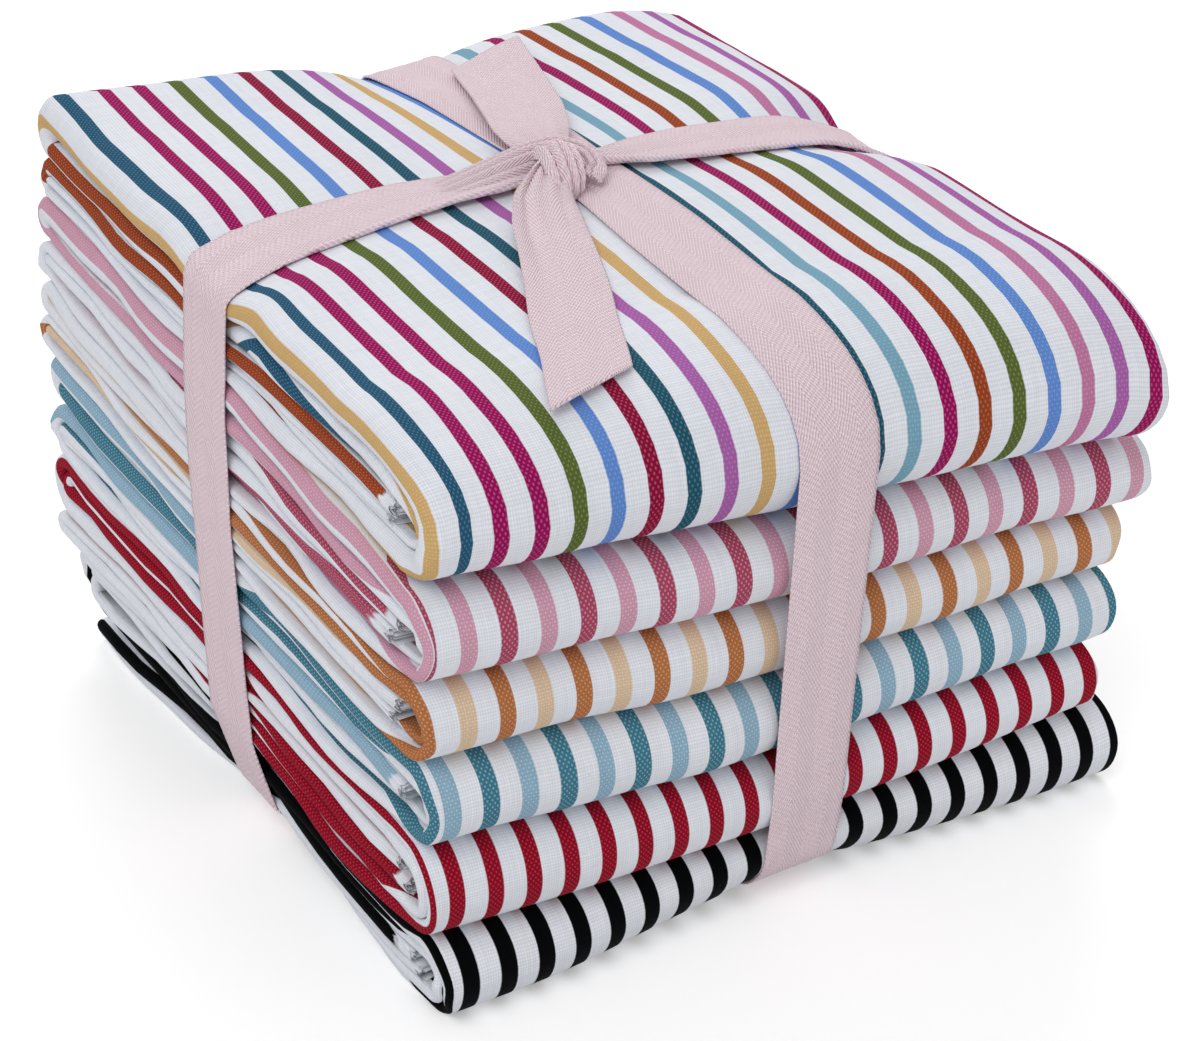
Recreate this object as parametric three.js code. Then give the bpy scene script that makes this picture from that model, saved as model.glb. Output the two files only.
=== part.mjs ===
// One-yard fabric bundle: six folded one-yard cuts of striped quilting cotton, stacked and tied
// crosswise with one twill tape that is knotted on top.
//
// Units are millimetres and +Z is up. X runs along the fold lines, the folded front edge faces -Y,
// and the stack's layered left end faces -X. The origin is the centre of the stack's underside.
//
// Every cut is folded as a shopkeeper folds it: in eight across its width, in half along its length,
// and last in thirds like a letter. A cut is one solid. Its section is a strip of eight plies that
// runs from a cut end inside the front fold, round the whole letter fold, turns at the fold end and
// runs all the way back inside itself.

import * as THREE from "three";

// ---------------------------------------------------------------------------------------------
// Driving sizes
// ---------------------------------------------------------------------------------------------

const PIECE_GAP = 0.75; // air between one cut and the next, with room for their straight facets
const PLY_GROUP = 2.8; // height of eight plies that lie together
const GROUP_GAP = 0.36; // air between two groups of plies
const CUT_END_SETBACK = 4.5; // from the inner ends of a cut to the inside of its front fold

// One row for each cut, lowest first. Left, right, front and rear are its extents. frontBow moves the
// front edge out from left to right. turn is the reach of the front fold and roll the reach of its
// upper half. nose is where the fold's nose lies between the bottom and the top. letter is 1 where the
// fold end lies on top of the folded cut and -1 where it lies underneath.
const CUTS = [
  { name: "cloth_black", colour: 0x2b2b30, left: -69.5, right: 74.0, front: -77.5, frontBow: 0.5, rear: 70.0,
    turn: 5.5, roll: 4.0, nose: 0.45, letter: -1 },
  { name: "cloth_red", colour: 0xa5152d, left: -71.0, right: 67.5, front: -77.0, frontBow: 0.5, rear: 75.0,
    turn: 5.5, roll: 5.5, nose: 0.5, letter: -1 },
  { name: "cloth_teal", colour: 0x3c828c, left: -71.5, right: 70.0, front: -77.0, frontBow: 0.5, rear: 75.5,
    turn: 5.5, roll: 5.5, nose: 0.5, letter: 1 },
  { name: "cloth_rust", colour: 0xc8732d, left: -72.0, right: 70.0, front: -76.5, frontBow: 0.5, rear: 74.5,
    turn: 5.5, roll: 5.5, nose: 0.5, letter: 1 },
  { name: "cloth_rose", colour: 0xb93c5a, left: -71.5, right: 74.0, front: -77.5, frontBow: 1.0, rear: 73.5,
    turn: 5.5, roll: 5.5, nose: 0.5, letter: 1 },
  { name: "cloth_multi", colour: 0xe8ecf3, left: -69.0, right: 69.0, front: -78.0, frontBow: 8.0, rear: 72.5,
    turn: 5.5, roll: 26, nose: 0.38, letter: 1 },
];

// The surface between one cut and the next, lowest first: its height at the four corners of the
// stack, and how far the tie pulls it down at the middle of the front edge.
const SURFACES = [
  { frontLeft: 17.6, frontRight: 17.3, rearLeft: 22.8, rearRight: 20.8, sag: 3.6 },
  { frontLeft: 33.9, frontRight: 31.3, rearLeft: 42.8, rearRight: 38.3, sag: 3.2 },
  { frontLeft: 50.0, frontRight: 45.8, rearLeft: 63.8, rearRight: 55.8, sag: 2.6 },
  { frontLeft: 66.3, frontRight: 58.3, rearLeft: 82.3, rearRight: 72.3, sag: 2.6 },
  { frontLeft: 79.8, frontRight: 69.8, rearLeft: 98.8, rearRight: 88.3, sag: 1.6 },
];
const HALF_WIDTH = 70; // where the corner heights hold
const HALF_DEPTH = 77;
const SAG_SPREAD = { x: 45, y: 50 };
const SURFACE_KNOTS = [-74, -38, 2, 45, 78]; // the surfaces run straight between these places in X

// The top of the stack: four soft pillows between the two runs of the tie.
const CROWN = {
  middle: 111.4, // height at the middle, away from the tie
  riseRight: 0.65, riseRear: 4.2, twist: -1.25, // slopes towards the edges
  bendAcross: -0.5, bendAlong: -2.5, // curvature towards the edges
  pinch: 6.3, pinchWidth: 13, // trough under the run along X, deepest at its ends
  ridge: 1.3, ridgeX: 4, ridgeWidth: 14, // ridge under the run along Y, which dips towards the edges
  ridgeTilt: -1.8, ridgeEnds: -6.7,
  rearLeft: 3.5, rearRight: -1.6, // lift of the two rear corners
  shoulderFrom: 50, shoulderSpan: 26, shoulderDrop: 9.5, // the right-hand end rolls down
};

const TAPE = { width: 16, thickness: 1, clearance: 0.35, minStep: 2.2 };
const GROOVE = { depth: 1.6, flat: 9.5, slope: 2.5 }; // underneath, where the tape passes
const GROOVE_EDGES = [-GROOVE.flat - GROOVE.slope, -GROOVE.flat, GROOVE.flat, GROOVE.flat + GROOVE.slope];
const UNDER_X = 1; // centre of the tape's run along Y, underneath
const UNDER_Y = -6.5; // centre of its run along X, underneath
const SIDE_TOP = 100; // height at which a run leaves the side of the stack

// The run along X on top of the stack: its centre and width from left to right.
const ACROSS_TOP = [
  { x: -72, y: -3.5, width: 16 },
  { x: -58, y: 1.5, width: 15 },
  { x: -28, y: 1.5, width: 13 },
  { x: -8, y: -3.0, width: 10 },
  { x: 6, y: -2.5, width: 10 },
  { x: 26, y: -0.5, width: 14 },
  { x: 55, y: -0.5, width: 16 },
  { x: 76, y: -3.0, width: 16 },
];
// The run along Y on top of the stack: its centre from front to rear.
const ALONG_TOP = [
  { y: -84, x: 4 },
  { y: -50, x: 2.5 },
  { y: 20, x: 2.5 },
  { y: 77, x: 5 },
];

// The knot is a small barrel of gathered tape that lies along X.
const KNOT = { x: -6, y: -6.5, halfLength: 7.6, halfDepth: 6.6, height: 7.2, ridgeDepth: 0.9, turn: -0.25 };

// A tail's centre line from the knot to its cut end: place, width and height above the crown.
const TAIL_FRONT = [
  { x: -8.6, y: -12.9, width: 7.0, lift: 5.6 },
  { x: -12.0, y: -18.0, width: 10.0, lift: 3.2 },
  { x: -15.8, y: -24.8, width: 13.5, lift: 1.6 },
  { x: -20.0, y: -32.0, width: 15.5, lift: 1.1 },
  { x: -25.0, y: -43.0, width: 16.0, lift: 1.1 },
  { x: -29.5, y: -53.0, width: 16.0, lift: 1.1 },
  { x: -33.0, y: -62.5, width: 16.0, lift: 1.2 },
];
const TAIL_BACK = [
  { x: -2.4, y: -0.2, width: 7.0, lift: 6.2 },
  { x: 1.0, y: 8.0, width: 8.5, lift: 4.2 },
  { x: 5.0, y: 18.0, width: 11.5, lift: 3.2 },
  { x: 9.5, y: 31.0, width: 14.5, lift: 2.8 },
  { x: 14.5, y: 45.0, width: 16.0, lift: 2.8 },
  { x: 17.5, y: 55.0, width: 16.0, lift: 2.8 },
];
const TAIL_CUT_SLANT = 5; // how far one corner of a cut end runs ahead of the other
const TAPE_COLOUR = 0xe6cdd4;

// ---------------------------------------------------------------------------------------------
// Small helpers
// ---------------------------------------------------------------------------------------------

const mix = (a, b, share) => a + (b - a) * share;
const bell = (distance, width) => Math.exp(-((distance / width) ** 2));
const trough = (distance, width) => Math.exp(-(Math.abs(distance / width) ** 3));
const clamp01 = (value) => Math.min(1, Math.max(0, value));

/** Reads one column of a table that is sorted by its key column, straight between its rows. */
function readTable(table, key, column, at) {
  const next = Math.min(table.length - 1, Math.max(1, table.findIndex((row) => row[key] > at)));
  const [low, high] = at >= table.at(-1)[key] ? table.slice(-2) : [table[next - 1], table[next]];
  return mix(low[column], high[column], clamp01((at - low[key]) / (high[key] - low[key])));
}

/** 1 inside a groove's flat floor, 0 outside its slopes. */
const grooveShare = (distance) => clamp01((GROOVE.flat + GROOVE.slope - Math.abs(distance)) / GROOVE.slope);

/** A closed geometry from points and triangles, with its faces turned outwards. */
function closedGeometry(points, triangles) {
  let volume = 0;
  for (const [a, b, c] of triangles) {
    volume += points[a].dot(new THREE.Vector3().crossVectors(points[b], points[c]));
  }
  const turned = volume < 0 ? triangles.map(([a, b, c]) => [a, c, b]) : triangles;
  const geometry = new THREE.BufferGeometry().setFromPoints(points);
  geometry.setIndex(turned.flat());
  geometry.computeVertexNormals();
  return geometry;
}

/** A named mesh in one plain cloth colour. */
function clothMesh(name, geometry, colour) {
  const material = new THREE.MeshStandardMaterial({ color: colour, roughness: 0.9, metalness: 0 });
  const mesh = new THREE.Mesh(geometry, material);
  mesh.name = name;
  return mesh;
}

// ---------------------------------------------------------------------------------------------
// Surfaces of the stack
// ---------------------------------------------------------------------------------------------

/** The underside: flat on the table, with a groove where each run of the tape passes. */
function underside(x, y) {
  return GROOVE.depth * (grooveShare(x - UNDER_X) + grooveShare(y - UNDER_Y));
}

/** The top of the stack away from its front fold. */
function crown(x, y) {
  const a = x / HALF_WIDTH;
  const b = y / HALF_DEPTH;
  const pinch = trough(y - readTable(ACROSS_TOP, "x", "y", x), CROWN.pinchWidth);
  const ridge = bell(x - CROWN.ridgeX, CROWN.ridgeWidth);
  const shoulder = Math.max(0, (x - CROWN.shoulderFrom) / CROWN.shoulderSpan) ** 2;
  const corner = (x < 0 ? CROWN.rearLeft : CROWN.rearRight) * (a * Math.max(0, b)) ** 2;
  return CROWN.middle + CROWN.riseRight * a + CROWN.riseRear * b + CROWN.twist * a * b
    + CROWN.bendAcross * a * a + CROWN.bendAlong * b * b
    - CROWN.pinch * a * a * pinch
    + ridge * (CROWN.ridge + CROWN.ridgeTilt * b + CROWN.ridgeEnds * b * b)
    + corner - CROWN.shoulderDrop * shoulder;
}

/** A surface between two cuts, at its own height for any place. */
function surfaceAt(row, x, y) {
  const across = (x + HALF_WIDTH) / (2 * HALF_WIDTH);
  const along = (y + HALF_DEPTH) / (2 * HALF_DEPTH);
  const front = mix(row.frontLeft, row.frontRight, across);
  const rear = mix(row.rearLeft, row.rearRight, across);
  const pull = bell(x, SAG_SPREAD.x) * bell(y + HALF_DEPTH, SAG_SPREAD.y);
  return mix(front, rear, along) - row.sag * pull;
}

/** The same surface, drawn straight between the knots so that both its cuts share one face. */
function surface(row, x, y) {
  const count = SURFACE_KNOTS.length;
  let index = SURFACE_KNOTS.findIndex((knot) => x < knot) - 1;
  if (index < 0) index = x < SURFACE_KNOTS[0] ? 0 : count - 2;
  const [low, high] = [SURFACE_KNOTS[index], SURFACE_KNOTS[index + 1]];
  return mix(surfaceAt(row, low, y), surfaceAt(row, high, y), (x - low) / (high - low));
}

/** Bottom and top of cut number index at a place. */
function cutSpan(index, x, y) {
  const last = CUTS.length - 1;
  const bottom = index === 0 ? underside(x, y) : surface(SURFACES[index - 1], x, y) + PIECE_GAP / 2;
  const top = index === last ? crown(x, y) : surface(SURFACES[index], x, y) - PIECE_GAP / 2;
  return { bottom: bottom - GROUP_GAP / 2, top: top + GROUP_GAP / 2 }; // a group leaves half its gap here
}

// ---------------------------------------------------------------------------------------------
// One folded cut
// ---------------------------------------------------------------------------------------------

const INNER_DEPTHS = [-40, 0, 40]; // places in Y where the hidden runs are drawn
const CROWN_DEPTHS = [-38, -24, -14, -8, 0, 7, 14, 24, 40, 58];
const CROWN_STATIONS = [-56, -38, -20, -5, 4, 14, 30, 45, 62];
const FRONT_TURN_STEPS = 3; // for each half of the front fold
const REAR_TURN_STEPS = 4;
const END_TURN_STEPS = 3;

/** Places in Y where a cut's outside run is drawn: the lowest cut has the groove, the top one the crown. */
function outsideDepths(index) {
  if (index === 0) return [-40, ...GROOVE_EDGES.map((edge) => UNDER_Y + edge), 40];
  return index === CUTS.length - 1 ? CROWN_DEPTHS : INNER_DEPTHS;
}

/** The middle line of the doubled strip at one place in X: points with outward normals. */
function letterLine(index, x) {
  const cut = CUTS[index];
  const side = cut.letter;
  const across = clamp01((x - cut.left) / (cut.right - cut.left));
  const front = cut.front - cut.frontBow * across ** 1.5;
  const groupAt = (y) => {
    const { bottom, top } = cutSpan(index, x, y);
    return Math.min(PLY_GROUP, (top - bottom) / 6);
  };
  const level = (run, y) => {
    const { bottom, top } = cutSpan(index, x, y);
    const group = groupAt(y);
    const fromFirst = { first: group, middle: 3 * group, last: top - bottom - group }[run];
    return side > 0 ? bottom + fromFirst : top - fromFirst;
  };
  const line = [];
  const addRun = (run, from, to) => {
    const direction = Math.sign(to - from);
    const depths = run === "last" ? outsideDepths(index) : INNER_DEPTHS;
    const inside = depths.filter((y) => (y - from) * direction > 1 && (to - y) * direction > 1);
    inside.sort((a, b) => (a - b) * direction);
    for (const y of [from, ...inside, to]) {
      const normal = new THREE.Vector2(0, side * direction);
      line.push({ point: new THREE.Vector2(y, level(run, y)), normal, group: groupAt(y) });
    }
  };

  // Rear turn: the middle run comes back as the first one.
  const rearGroup = groupAt(cut.rear);
  const rearCentre = cut.rear - 2 * rearGroup;
  const innerEnd = front + 2 * groupAt(front) + CUT_END_SETBACK;
  addRun("middle", innerEnd, rearCentre);
  const rearMiddle = (level("middle", rearCentre) + level("first", rearCentre)) / 2;
  for (let step = 1; step < REAR_TURN_STEPS; step += 1) {
    const angle = Math.PI / 2 - (Math.PI * step) / REAR_TURN_STEPS;
    const normal = new THREE.Vector2(Math.cos(angle), side * Math.sin(angle));
    const centre = new THREE.Vector2(rearCentre, rearMiddle);
    line.push({ point: centre.addScaledVector(normal, rearGroup), normal, group: rearGroup });
  }

  // Front fold: the first run turns over into the last one.
  const noseGroup = groupAt(front);
  const nose = front + noseGroup;
  const firstLevel = level("first", front);
  const lastLevel = level("last", front + cut.roll);
  const noseLevel = mix(firstLevel, lastLevel, cut.nose);
  addRun("first", rearCentre, nose + cut.turn);
  for (let step = 1; step < 2 * FRONT_TURN_STEPS; step += 1) {
    const angle = (Math.PI / 2) * (step / FRONT_TURN_STEPS - 1);
    const onFirst = angle < 0;
    const reach = onFirst ? cut.turn : cut.roll;
    const rise = onFirst ? Math.abs(noseLevel - firstLevel) : Math.abs(lastLevel - noseLevel);
    const point = new THREE.Vector2(
      nose + reach * (1 - Math.cos(angle)),
      noseLevel + side * rise * Math.sin(angle),
    );
    const normal = new THREE.Vector2(-Math.cos(angle) * rise, side * Math.sin(angle) * reach);
    line.push({ point, normal: normal.normalize(), group: noseGroup });
  }
  addRun("last", nose + cut.roll, cut.rear - noseGroup);
  return line;
}

/** The strip of eight plies at one place in X: its two faces, from one cut end to the other. */
function stripFaces(index, x) {
  const line = letterLine(index, x);
  const faces = { outer: [], inner: [] };
  const addStation = (centre, normal, group) => {
    const half = (group - GROUP_GAP) / 2;
    faces.outer.push(centre.clone().addScaledVector(normal, half));
    faces.inner.push(centre.clone().addScaledVector(normal, -half));
  };
  for (const { point, normal, group } of line) {
    addStation(point.clone().addScaledVector(normal, group / 2), normal, group);
  }
  const end = line[line.length - 1];
  const ahead = new THREE.Vector2(1, 0);
  for (let step = 1; step < END_TURN_STEPS; step += 1) {
    const angle = (Math.PI * step) / END_TURN_STEPS;
    const normal = end.normal.clone().multiplyScalar(Math.cos(angle)).addScaledVector(ahead, Math.sin(angle));
    addStation(end.point.clone().addScaledVector(normal, end.group / 2), normal, end.group);
  }
  for (const { point, normal, group } of line.toReversed()) {
    addStation(point.clone().addScaledVector(normal, -group / 2), normal.clone().negate(), group);
  }
  return faces;
}

/** The solid of one folded cut, lofted along X through the given places. */
function foldedCut(index, stations) {
  const points = [];
  const triangles = [];
  const sections = stations.map((x) => {
    const { outer, inner } = stripFaces(index, x);
    return [...outer, ...inner.toReversed()].map(({ x: y, y: z }) => {
      points.push(new THREE.Vector3(x, y, z));
      return points.length - 1;
    });
  });
  const count = sections[0].length;
  for (let station = 0; station + 1 < sections.length; station += 1) {
    for (let corner = 0; corner < count; corner += 1) {
      const next = (corner + 1) % count;
      const [a, b] = [sections[station][corner], sections[station][next]];
      const [c, d] = [sections[station + 1][next], sections[station + 1][corner]];
      triangles.push([a, b, c], [a, c, d]);
    }
  }
  const addEnd = (section, flip) => {
    for (let corner = 0; corner + 1 < count / 2; corner += 1) {
      const [a, b] = [section[corner], section[corner + 1]];
      const [c, d] = [section[count - 2 - corner], section[count - 1 - corner]];
      triangles.push(...(flip ? [[a, b, c], [a, c, d]] : [[a, c, b], [a, d, c]]));
    }
  };
  addEnd(sections[0], false);
  addEnd(sections[sections.length - 1], true);
  return closedGeometry(points, triangles);
}

/** Places in X where a cut's section is drawn. */
function stationsOf(index) {
  const { left, right } = CUTS[index];
  if (index === CUTS.length - 1) return [left, ...CROWN_STATIONS, right];
  const inside = SURFACE_KNOTS.slice(1, -1);
  if (index === 0) inside.push(...GROOVE_EDGES.map((edge) => UNDER_X + edge));
  return [left, ...inside.sort((a, b) => a - b), right];
}

// ---------------------------------------------------------------------------------------------
// The tie
// ---------------------------------------------------------------------------------------------

/** Convex outline round a set of flat points, counter-clockwise. */
function convexOutline(points) {
  const sorted = [...points].sort((a, b) => a.x - b.x || a.y - b.y);
  const turn = (o, a, b) => (a.x - o.x) * (b.y - o.y) - (a.y - o.y) * (b.x - o.x);
  const half = (list) => {
    const chain = [];
    for (const point of list) {
      while (chain.length > 1 && turn(chain.at(-2), chain.at(-1), point) <= 0) chain.pop();
      chain.push(point);
    }
    return chain.slice(0, -1);
  };
  return [...half(sorted), ...half(sorted.toReversed())];
}

/** Drops points closer together than a step, then moves the outline out by a distance. */
function looseOutline(outline, distance) {
  const kept = [];
  for (const point of outline) {
    const close = kept.length > 0 && point.distanceTo(kept.at(-1)) < TAPE.minStep;
    if (!close) kept.push(point);
  }
  return kept.map((point, at) => {
    const before = kept.at(at - 1);
    const after = kept[(at + 1) % kept.length];
    const first = new THREE.Vector2(point.y - before.y, before.x - point.x).normalize();
    const second = new THREE.Vector2(after.y - point.y, point.x - after.x).normalize();
    const normal = first.add(second).normalize();
    const spread = Math.max(0.6, normal.dot(second));
    return { point: point.clone().addScaledVector(normal, distance / spread), normal };
  });
}

/** A flat band bent round a closed outline. place turns an outline point and a side into space. */
function bandRing(outline, place) {
  const points = [];
  const triangles = [];
  for (const { point, normal } of outline) {
    const outer = point.clone().addScaledVector(normal, TAPE.thickness / 2);
    const inner = point.clone().addScaledVector(normal, -TAPE.thickness / 2);
    for (const [at, side] of [[outer, -1], [outer, 1], [inner, 1], [inner, -1]]) {
      points.push(place(at, side, point));
    }
  }
  const total = points.length;
  for (let start = 0; start < total; start += 4) {
    for (let corner = 0; corner < 4; corner += 1) {
      const a = start + corner;
      const b = start + ((corner + 1) % 4);
      const c = (b + 4) % total;
      const d = (a + 4) % total;
      triangles.push([a, b, c], [a, c, d]);
    }
  }
  return closedGeometry(points, triangles);
}

/** Outline points of the whole stack in the Y-Z plane at one place in X. */
function sideOutline(x) {
  return CUTS.flatMap((cut, index) => stripFaces(index, x).outer);
}

/** Outline points of the whole stack in the X-Z plane at one place in Y. */
function endOutline(y) {
  return CUTS.flatMap((cut, index) => {
    const places = stationsOf(index);
    return places.flatMap((x) => {
      const { bottom, top } = cutSpan(index, x, y);
      return [new THREE.Vector2(x, bottom), new THREE.Vector2(x, top)];
    });
  });
}

const TAPE_OFFSET = TAPE.clearance + TAPE.thickness / 2;
const FACET_SLACK = 0.3; // room for the straight facets of the trough under a run
const SIDE_MIDDLE = 50; // height that parts the lower half of a run from its upper half
const SIDE_END = 92; // outline points below this height belong to the sides of the stack

/** Centre of the run along Y at a point of its outline: y to the rear and z up. */
function alongCentre(y, z) {
  const onTop = readTable(ALONG_TOP, "y", "x", y);
  return mix(UNDER_X, onTop, clamp01(z / SIDE_TOP));
}

/** Centre of the run along X at a point of its outline. */
function acrossCentre(x, z) {
  const onTop = readTable(ACROSS_TOP, "x", "y", x);
  return mix(UNDER_Y, onTop, clamp01(z / SIDE_TOP));
}

/** The run along Y lies on the cloth and steps over the other run underneath. */
function tapeAlong() {
  const edges = [-TAPE.width / 2, 0, TAPE.width / 2];
  const lower = edges.flatMap((edge) => sideOutline(UNDER_X + edge)).filter(({ y }) => y < SIDE_MIDDLE);
  const upper = ALONG_TOP.flatMap(({ x }) => edges.flatMap((edge) => sideOutline(x + edge)));
  const held = [...lower, ...upper.filter(({ y }) => y >= SIDE_MIDDLE)];
  const outline = looseOutline(convexOutline(held), TAPE_OFFSET);
  const low = outline.filter(({ normal }) => normal.y < -0.9);
  const level = Math.min(...low.map(({ point }) => point.y));
  const step = GROOVE_EDGES.map((edge) => {
    const rise = GROOVE.depth * grooveShare(edge);
    return { point: new THREE.Vector2(UNDER_Y + edge, level + rise), normal: new THREE.Vector2(0, -1) };
  });
  const at = outline.findIndex(({ point, normal }) => normal.y < -0.5 && point.x > UNDER_Y);
  outline.splice(at, 0, ...step);
  return bandRing(outline, (at, side, middle) => {
    const x = alongCentre(middle.x, middle.y) + (side * TAPE.width) / 2;
    return new THREE.Vector3(x, at.x, at.y);
  });
}

/** The run along X lies outside the other one. */
function tapeAcross() {
  const reach = ACROSS_TOP.map(({ x, y, width }) => ({ x, low: y - width / 2, high: y + width / 2 }));
  const over = TAPE.thickness + 2 * TAPE.clearance;
  const crossed = (x) => Math.abs(x - alongCentre(UNDER_Y, SIDE_TOP)) <= TAPE.width / 2;
  const shadow = [UNDER_Y - TAPE.width / 2, UNDER_Y, UNDER_Y + TAPE.width / 2].flatMap(endOutline);
  const rows = stationsOf(CUTS.length - 1).concat(
    [-1, 1].map((side) => alongCentre(UNDER_Y, SIDE_TOP) + (side * TAPE.width) / 2),
  );
  const carried = rows.flatMap((x) => {
    const edges = ["low", "high"].map((edge) => readTable(reach, "x", edge, x));
    const tops = [...edges, mix(...edges, 0.5)].map((y) => crown(x, y) + (crossed(x) ? over : 0));
    return [new THREE.Vector2(x, Math.max(...tops) + FACET_SLACK)];
  });
  const below = shadow.filter(({ y }) => y < SIDE_END);
  const outline = looseOutline(convexOutline([...below, ...carried]), TAPE_OFFSET);
  return bandRing(outline, (at, side, middle) => {
    const onTop = readTable(ACROSS_TOP, "x", "width", middle.x);
    const width = mix(TAPE.width, onTop, clamp01(middle.y / SIDE_TOP));
    return new THREE.Vector3(at.x, acrossCentre(middle.x, middle.y) + (side * width) / 2, at.y);
  });
}

const KNOT_SEGMENTS = { round: 16, along: 12 };
const KNOT_FLAT = 0.55; // share of the half height at which its underside is cut flat

/** Height of the top of the crossing under the knot. */
function crossingTop() {
  const heights = ACROSS_TOP.filter(({ x }) => Math.abs(x) < 10).map(({ x, y }) => crown(x, y));
  return Math.max(...heights) + 2 * TAPE.thickness + 3 * TAPE.clearance + FACET_SLACK / 2;
}

/** The wrapped knot: a plump barrel with gathered ridges, flat underneath. */
function knot() {
  const points = [];
  const triangles = [];
  const base = crossingTop() + FACET_SLACK;
  const axis = new THREE.Vector2(Math.cos(KNOT.turn), Math.sin(KNOT.turn));
  const place = (station, angle) => {
    const polar = (Math.PI * station) / KNOT_SEGMENTS.along;
    const onRidge = station % 2 === 1 ? 0 : 1;
    const ring = Math.sin(polar) * (1 - (onRidge * KNOT.ridgeDepth) / KNOT.halfDepth);
    const along = -Math.cos(polar) * KNOT.halfLength;
    const across = ring * Math.cos(angle) * KNOT.halfDepth;
    const rise = Math.max(-KNOT_FLAT, ring * Math.sin(angle)) + KNOT_FLAT;
    return new THREE.Vector3(
      KNOT.x + along * axis.x - across * axis.y,
      KNOT.y + along * axis.y + across * axis.x,
      base + (KNOT.height * rise) / (1 + KNOT_FLAT),
    );
  };
  points.push(place(0, 0));
  for (let station = 1; station < KNOT_SEGMENTS.along; station += 1) {
    for (let column = 0; column < KNOT_SEGMENTS.round; column += 1) {
      points.push(place(station, (2 * Math.PI * column) / KNOT_SEGMENTS.round));
    }
  }
  points.push(place(KNOT_SEGMENTS.along, 0));
  const start = (station) => 1 + (station - 1) * KNOT_SEGMENTS.round;
  const lastRing = start(KNOT_SEGMENTS.along - 1);
  for (let column = 0; column < KNOT_SEGMENTS.round; column += 1) {
    const next = (column + 1) % KNOT_SEGMENTS.round;
    triangles.push([0, start(1) + column, start(1) + next]);
    for (let station = 1; station < KNOT_SEGMENTS.along - 1; station += 1) {
      const [a, b] = [start(station) + column, start(station) + next];
      const [c, d] = [start(station + 1) + next, start(station + 1) + column];
      triangles.push([a, d, c], [a, c, b]);
    }
    triangles.push([points.length - 1, lastRing + next, lastRing + column]);
  }
  return closedGeometry(points, triangles);
}

/** A free end of the tape: a thin ribbon that lies on the stack along its table. */
function tail(table, longSide) {
  const points = [];
  const triangles = [];
  const last = table.length - 1;
  table.forEach(({ x, y, width, lift }, at) => {
    const before = table[Math.max(0, at - 1)];
    const after = table[Math.min(last, at + 1)];
    const along = new THREE.Vector2(after.x - before.x, after.y - before.y).normalize();
    const across = new THREE.Vector2(-along.y, along.x);
    for (const side of [-1, 0, 1]) {
      const slant = at === last ? side * longSide * TAIL_CUT_SLANT : 0;
      const px = x + (across.x * side * width) / 2 + along.x * slant;
      const py = y + (across.y * side * width) / 2 + along.y * slant;
      for (const face of [-1, 1]) {
        const pz = crown(px, py) + lift + (face * TAPE.thickness) / 2;
        points.push(new THREE.Vector3(px, py, pz));
      }
    }
  });
  const rim = [0, 2, 4, 5, 3, 1]; // round one cross-section
  for (let at = 0; at < last; at += 1) {
    rim.forEach((corner, order) => {
      const next = rim[(order + 1) % rim.length];
      const [a, b] = [at * 6 + corner, at * 6 + next];
      triangles.push([a, b, b + 6], [a, b + 6, a + 6]);
    });
  }
  for (const [start, flip] of [[0, true], [last * 6, false]]) {
    for (const [a, b, c, d] of [[0, 2, 3, 1], [2, 4, 5, 3]]) {
      const quad = [[a, b, c], [a, c, d]].map((corners) => corners.map((corner) => start + corner));
      triangles.push(...(flip ? quad.map(([p, q, r]) => [p, r, q]) : quad));
    }
  }
  return closedGeometry(points, triangles);
}

// ---------------------------------------------------------------------------------------------
// Assembly
// ---------------------------------------------------------------------------------------------

const bundle = new THREE.Group();
CUTS.forEach((cut, index) => {
  bundle.add(clothMesh(cut.name, foldedCut(index, stationsOf(index)), cut.colour));
});
bundle.add(clothMesh("tape_along", tapeAlong(), TAPE_COLOUR));
bundle.add(clothMesh("tape_across", tapeAcross(), TAPE_COLOUR));
bundle.add(clothMesh("tape_knot", knot(), TAPE_COLOUR));
bundle.add(clothMesh("tail_front", tail(TAIL_FRONT, -1), TAPE_COLOUR));
bundle.add(clothMesh("tail_back", tail(TAIL_BACK, 1), TAPE_COLOUR));

const middle = new THREE.Box3().setFromObject(bundle).getCenter(new THREE.Vector3());
for (const { geometry } of bundle.children) geometry.translate(-middle.x, -middle.y, 0);

export default bundle;
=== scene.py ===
"""Visual model of a tied bundle of folded striped cotton cuts.

Each cut is one thin closed sheet at its true cut size. It is folded in eight across its width, then
halved along its length, and last folded in thirds like a letter. The cuts lie on each other, and one
twill tape goes round them both ways and is knotted on top.

Lengths are in millimetres here and in metres in the meshes. X runs along the fold lines, the folded
front edge faces -Y and the layered end that shows faces -X.
"""

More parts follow.
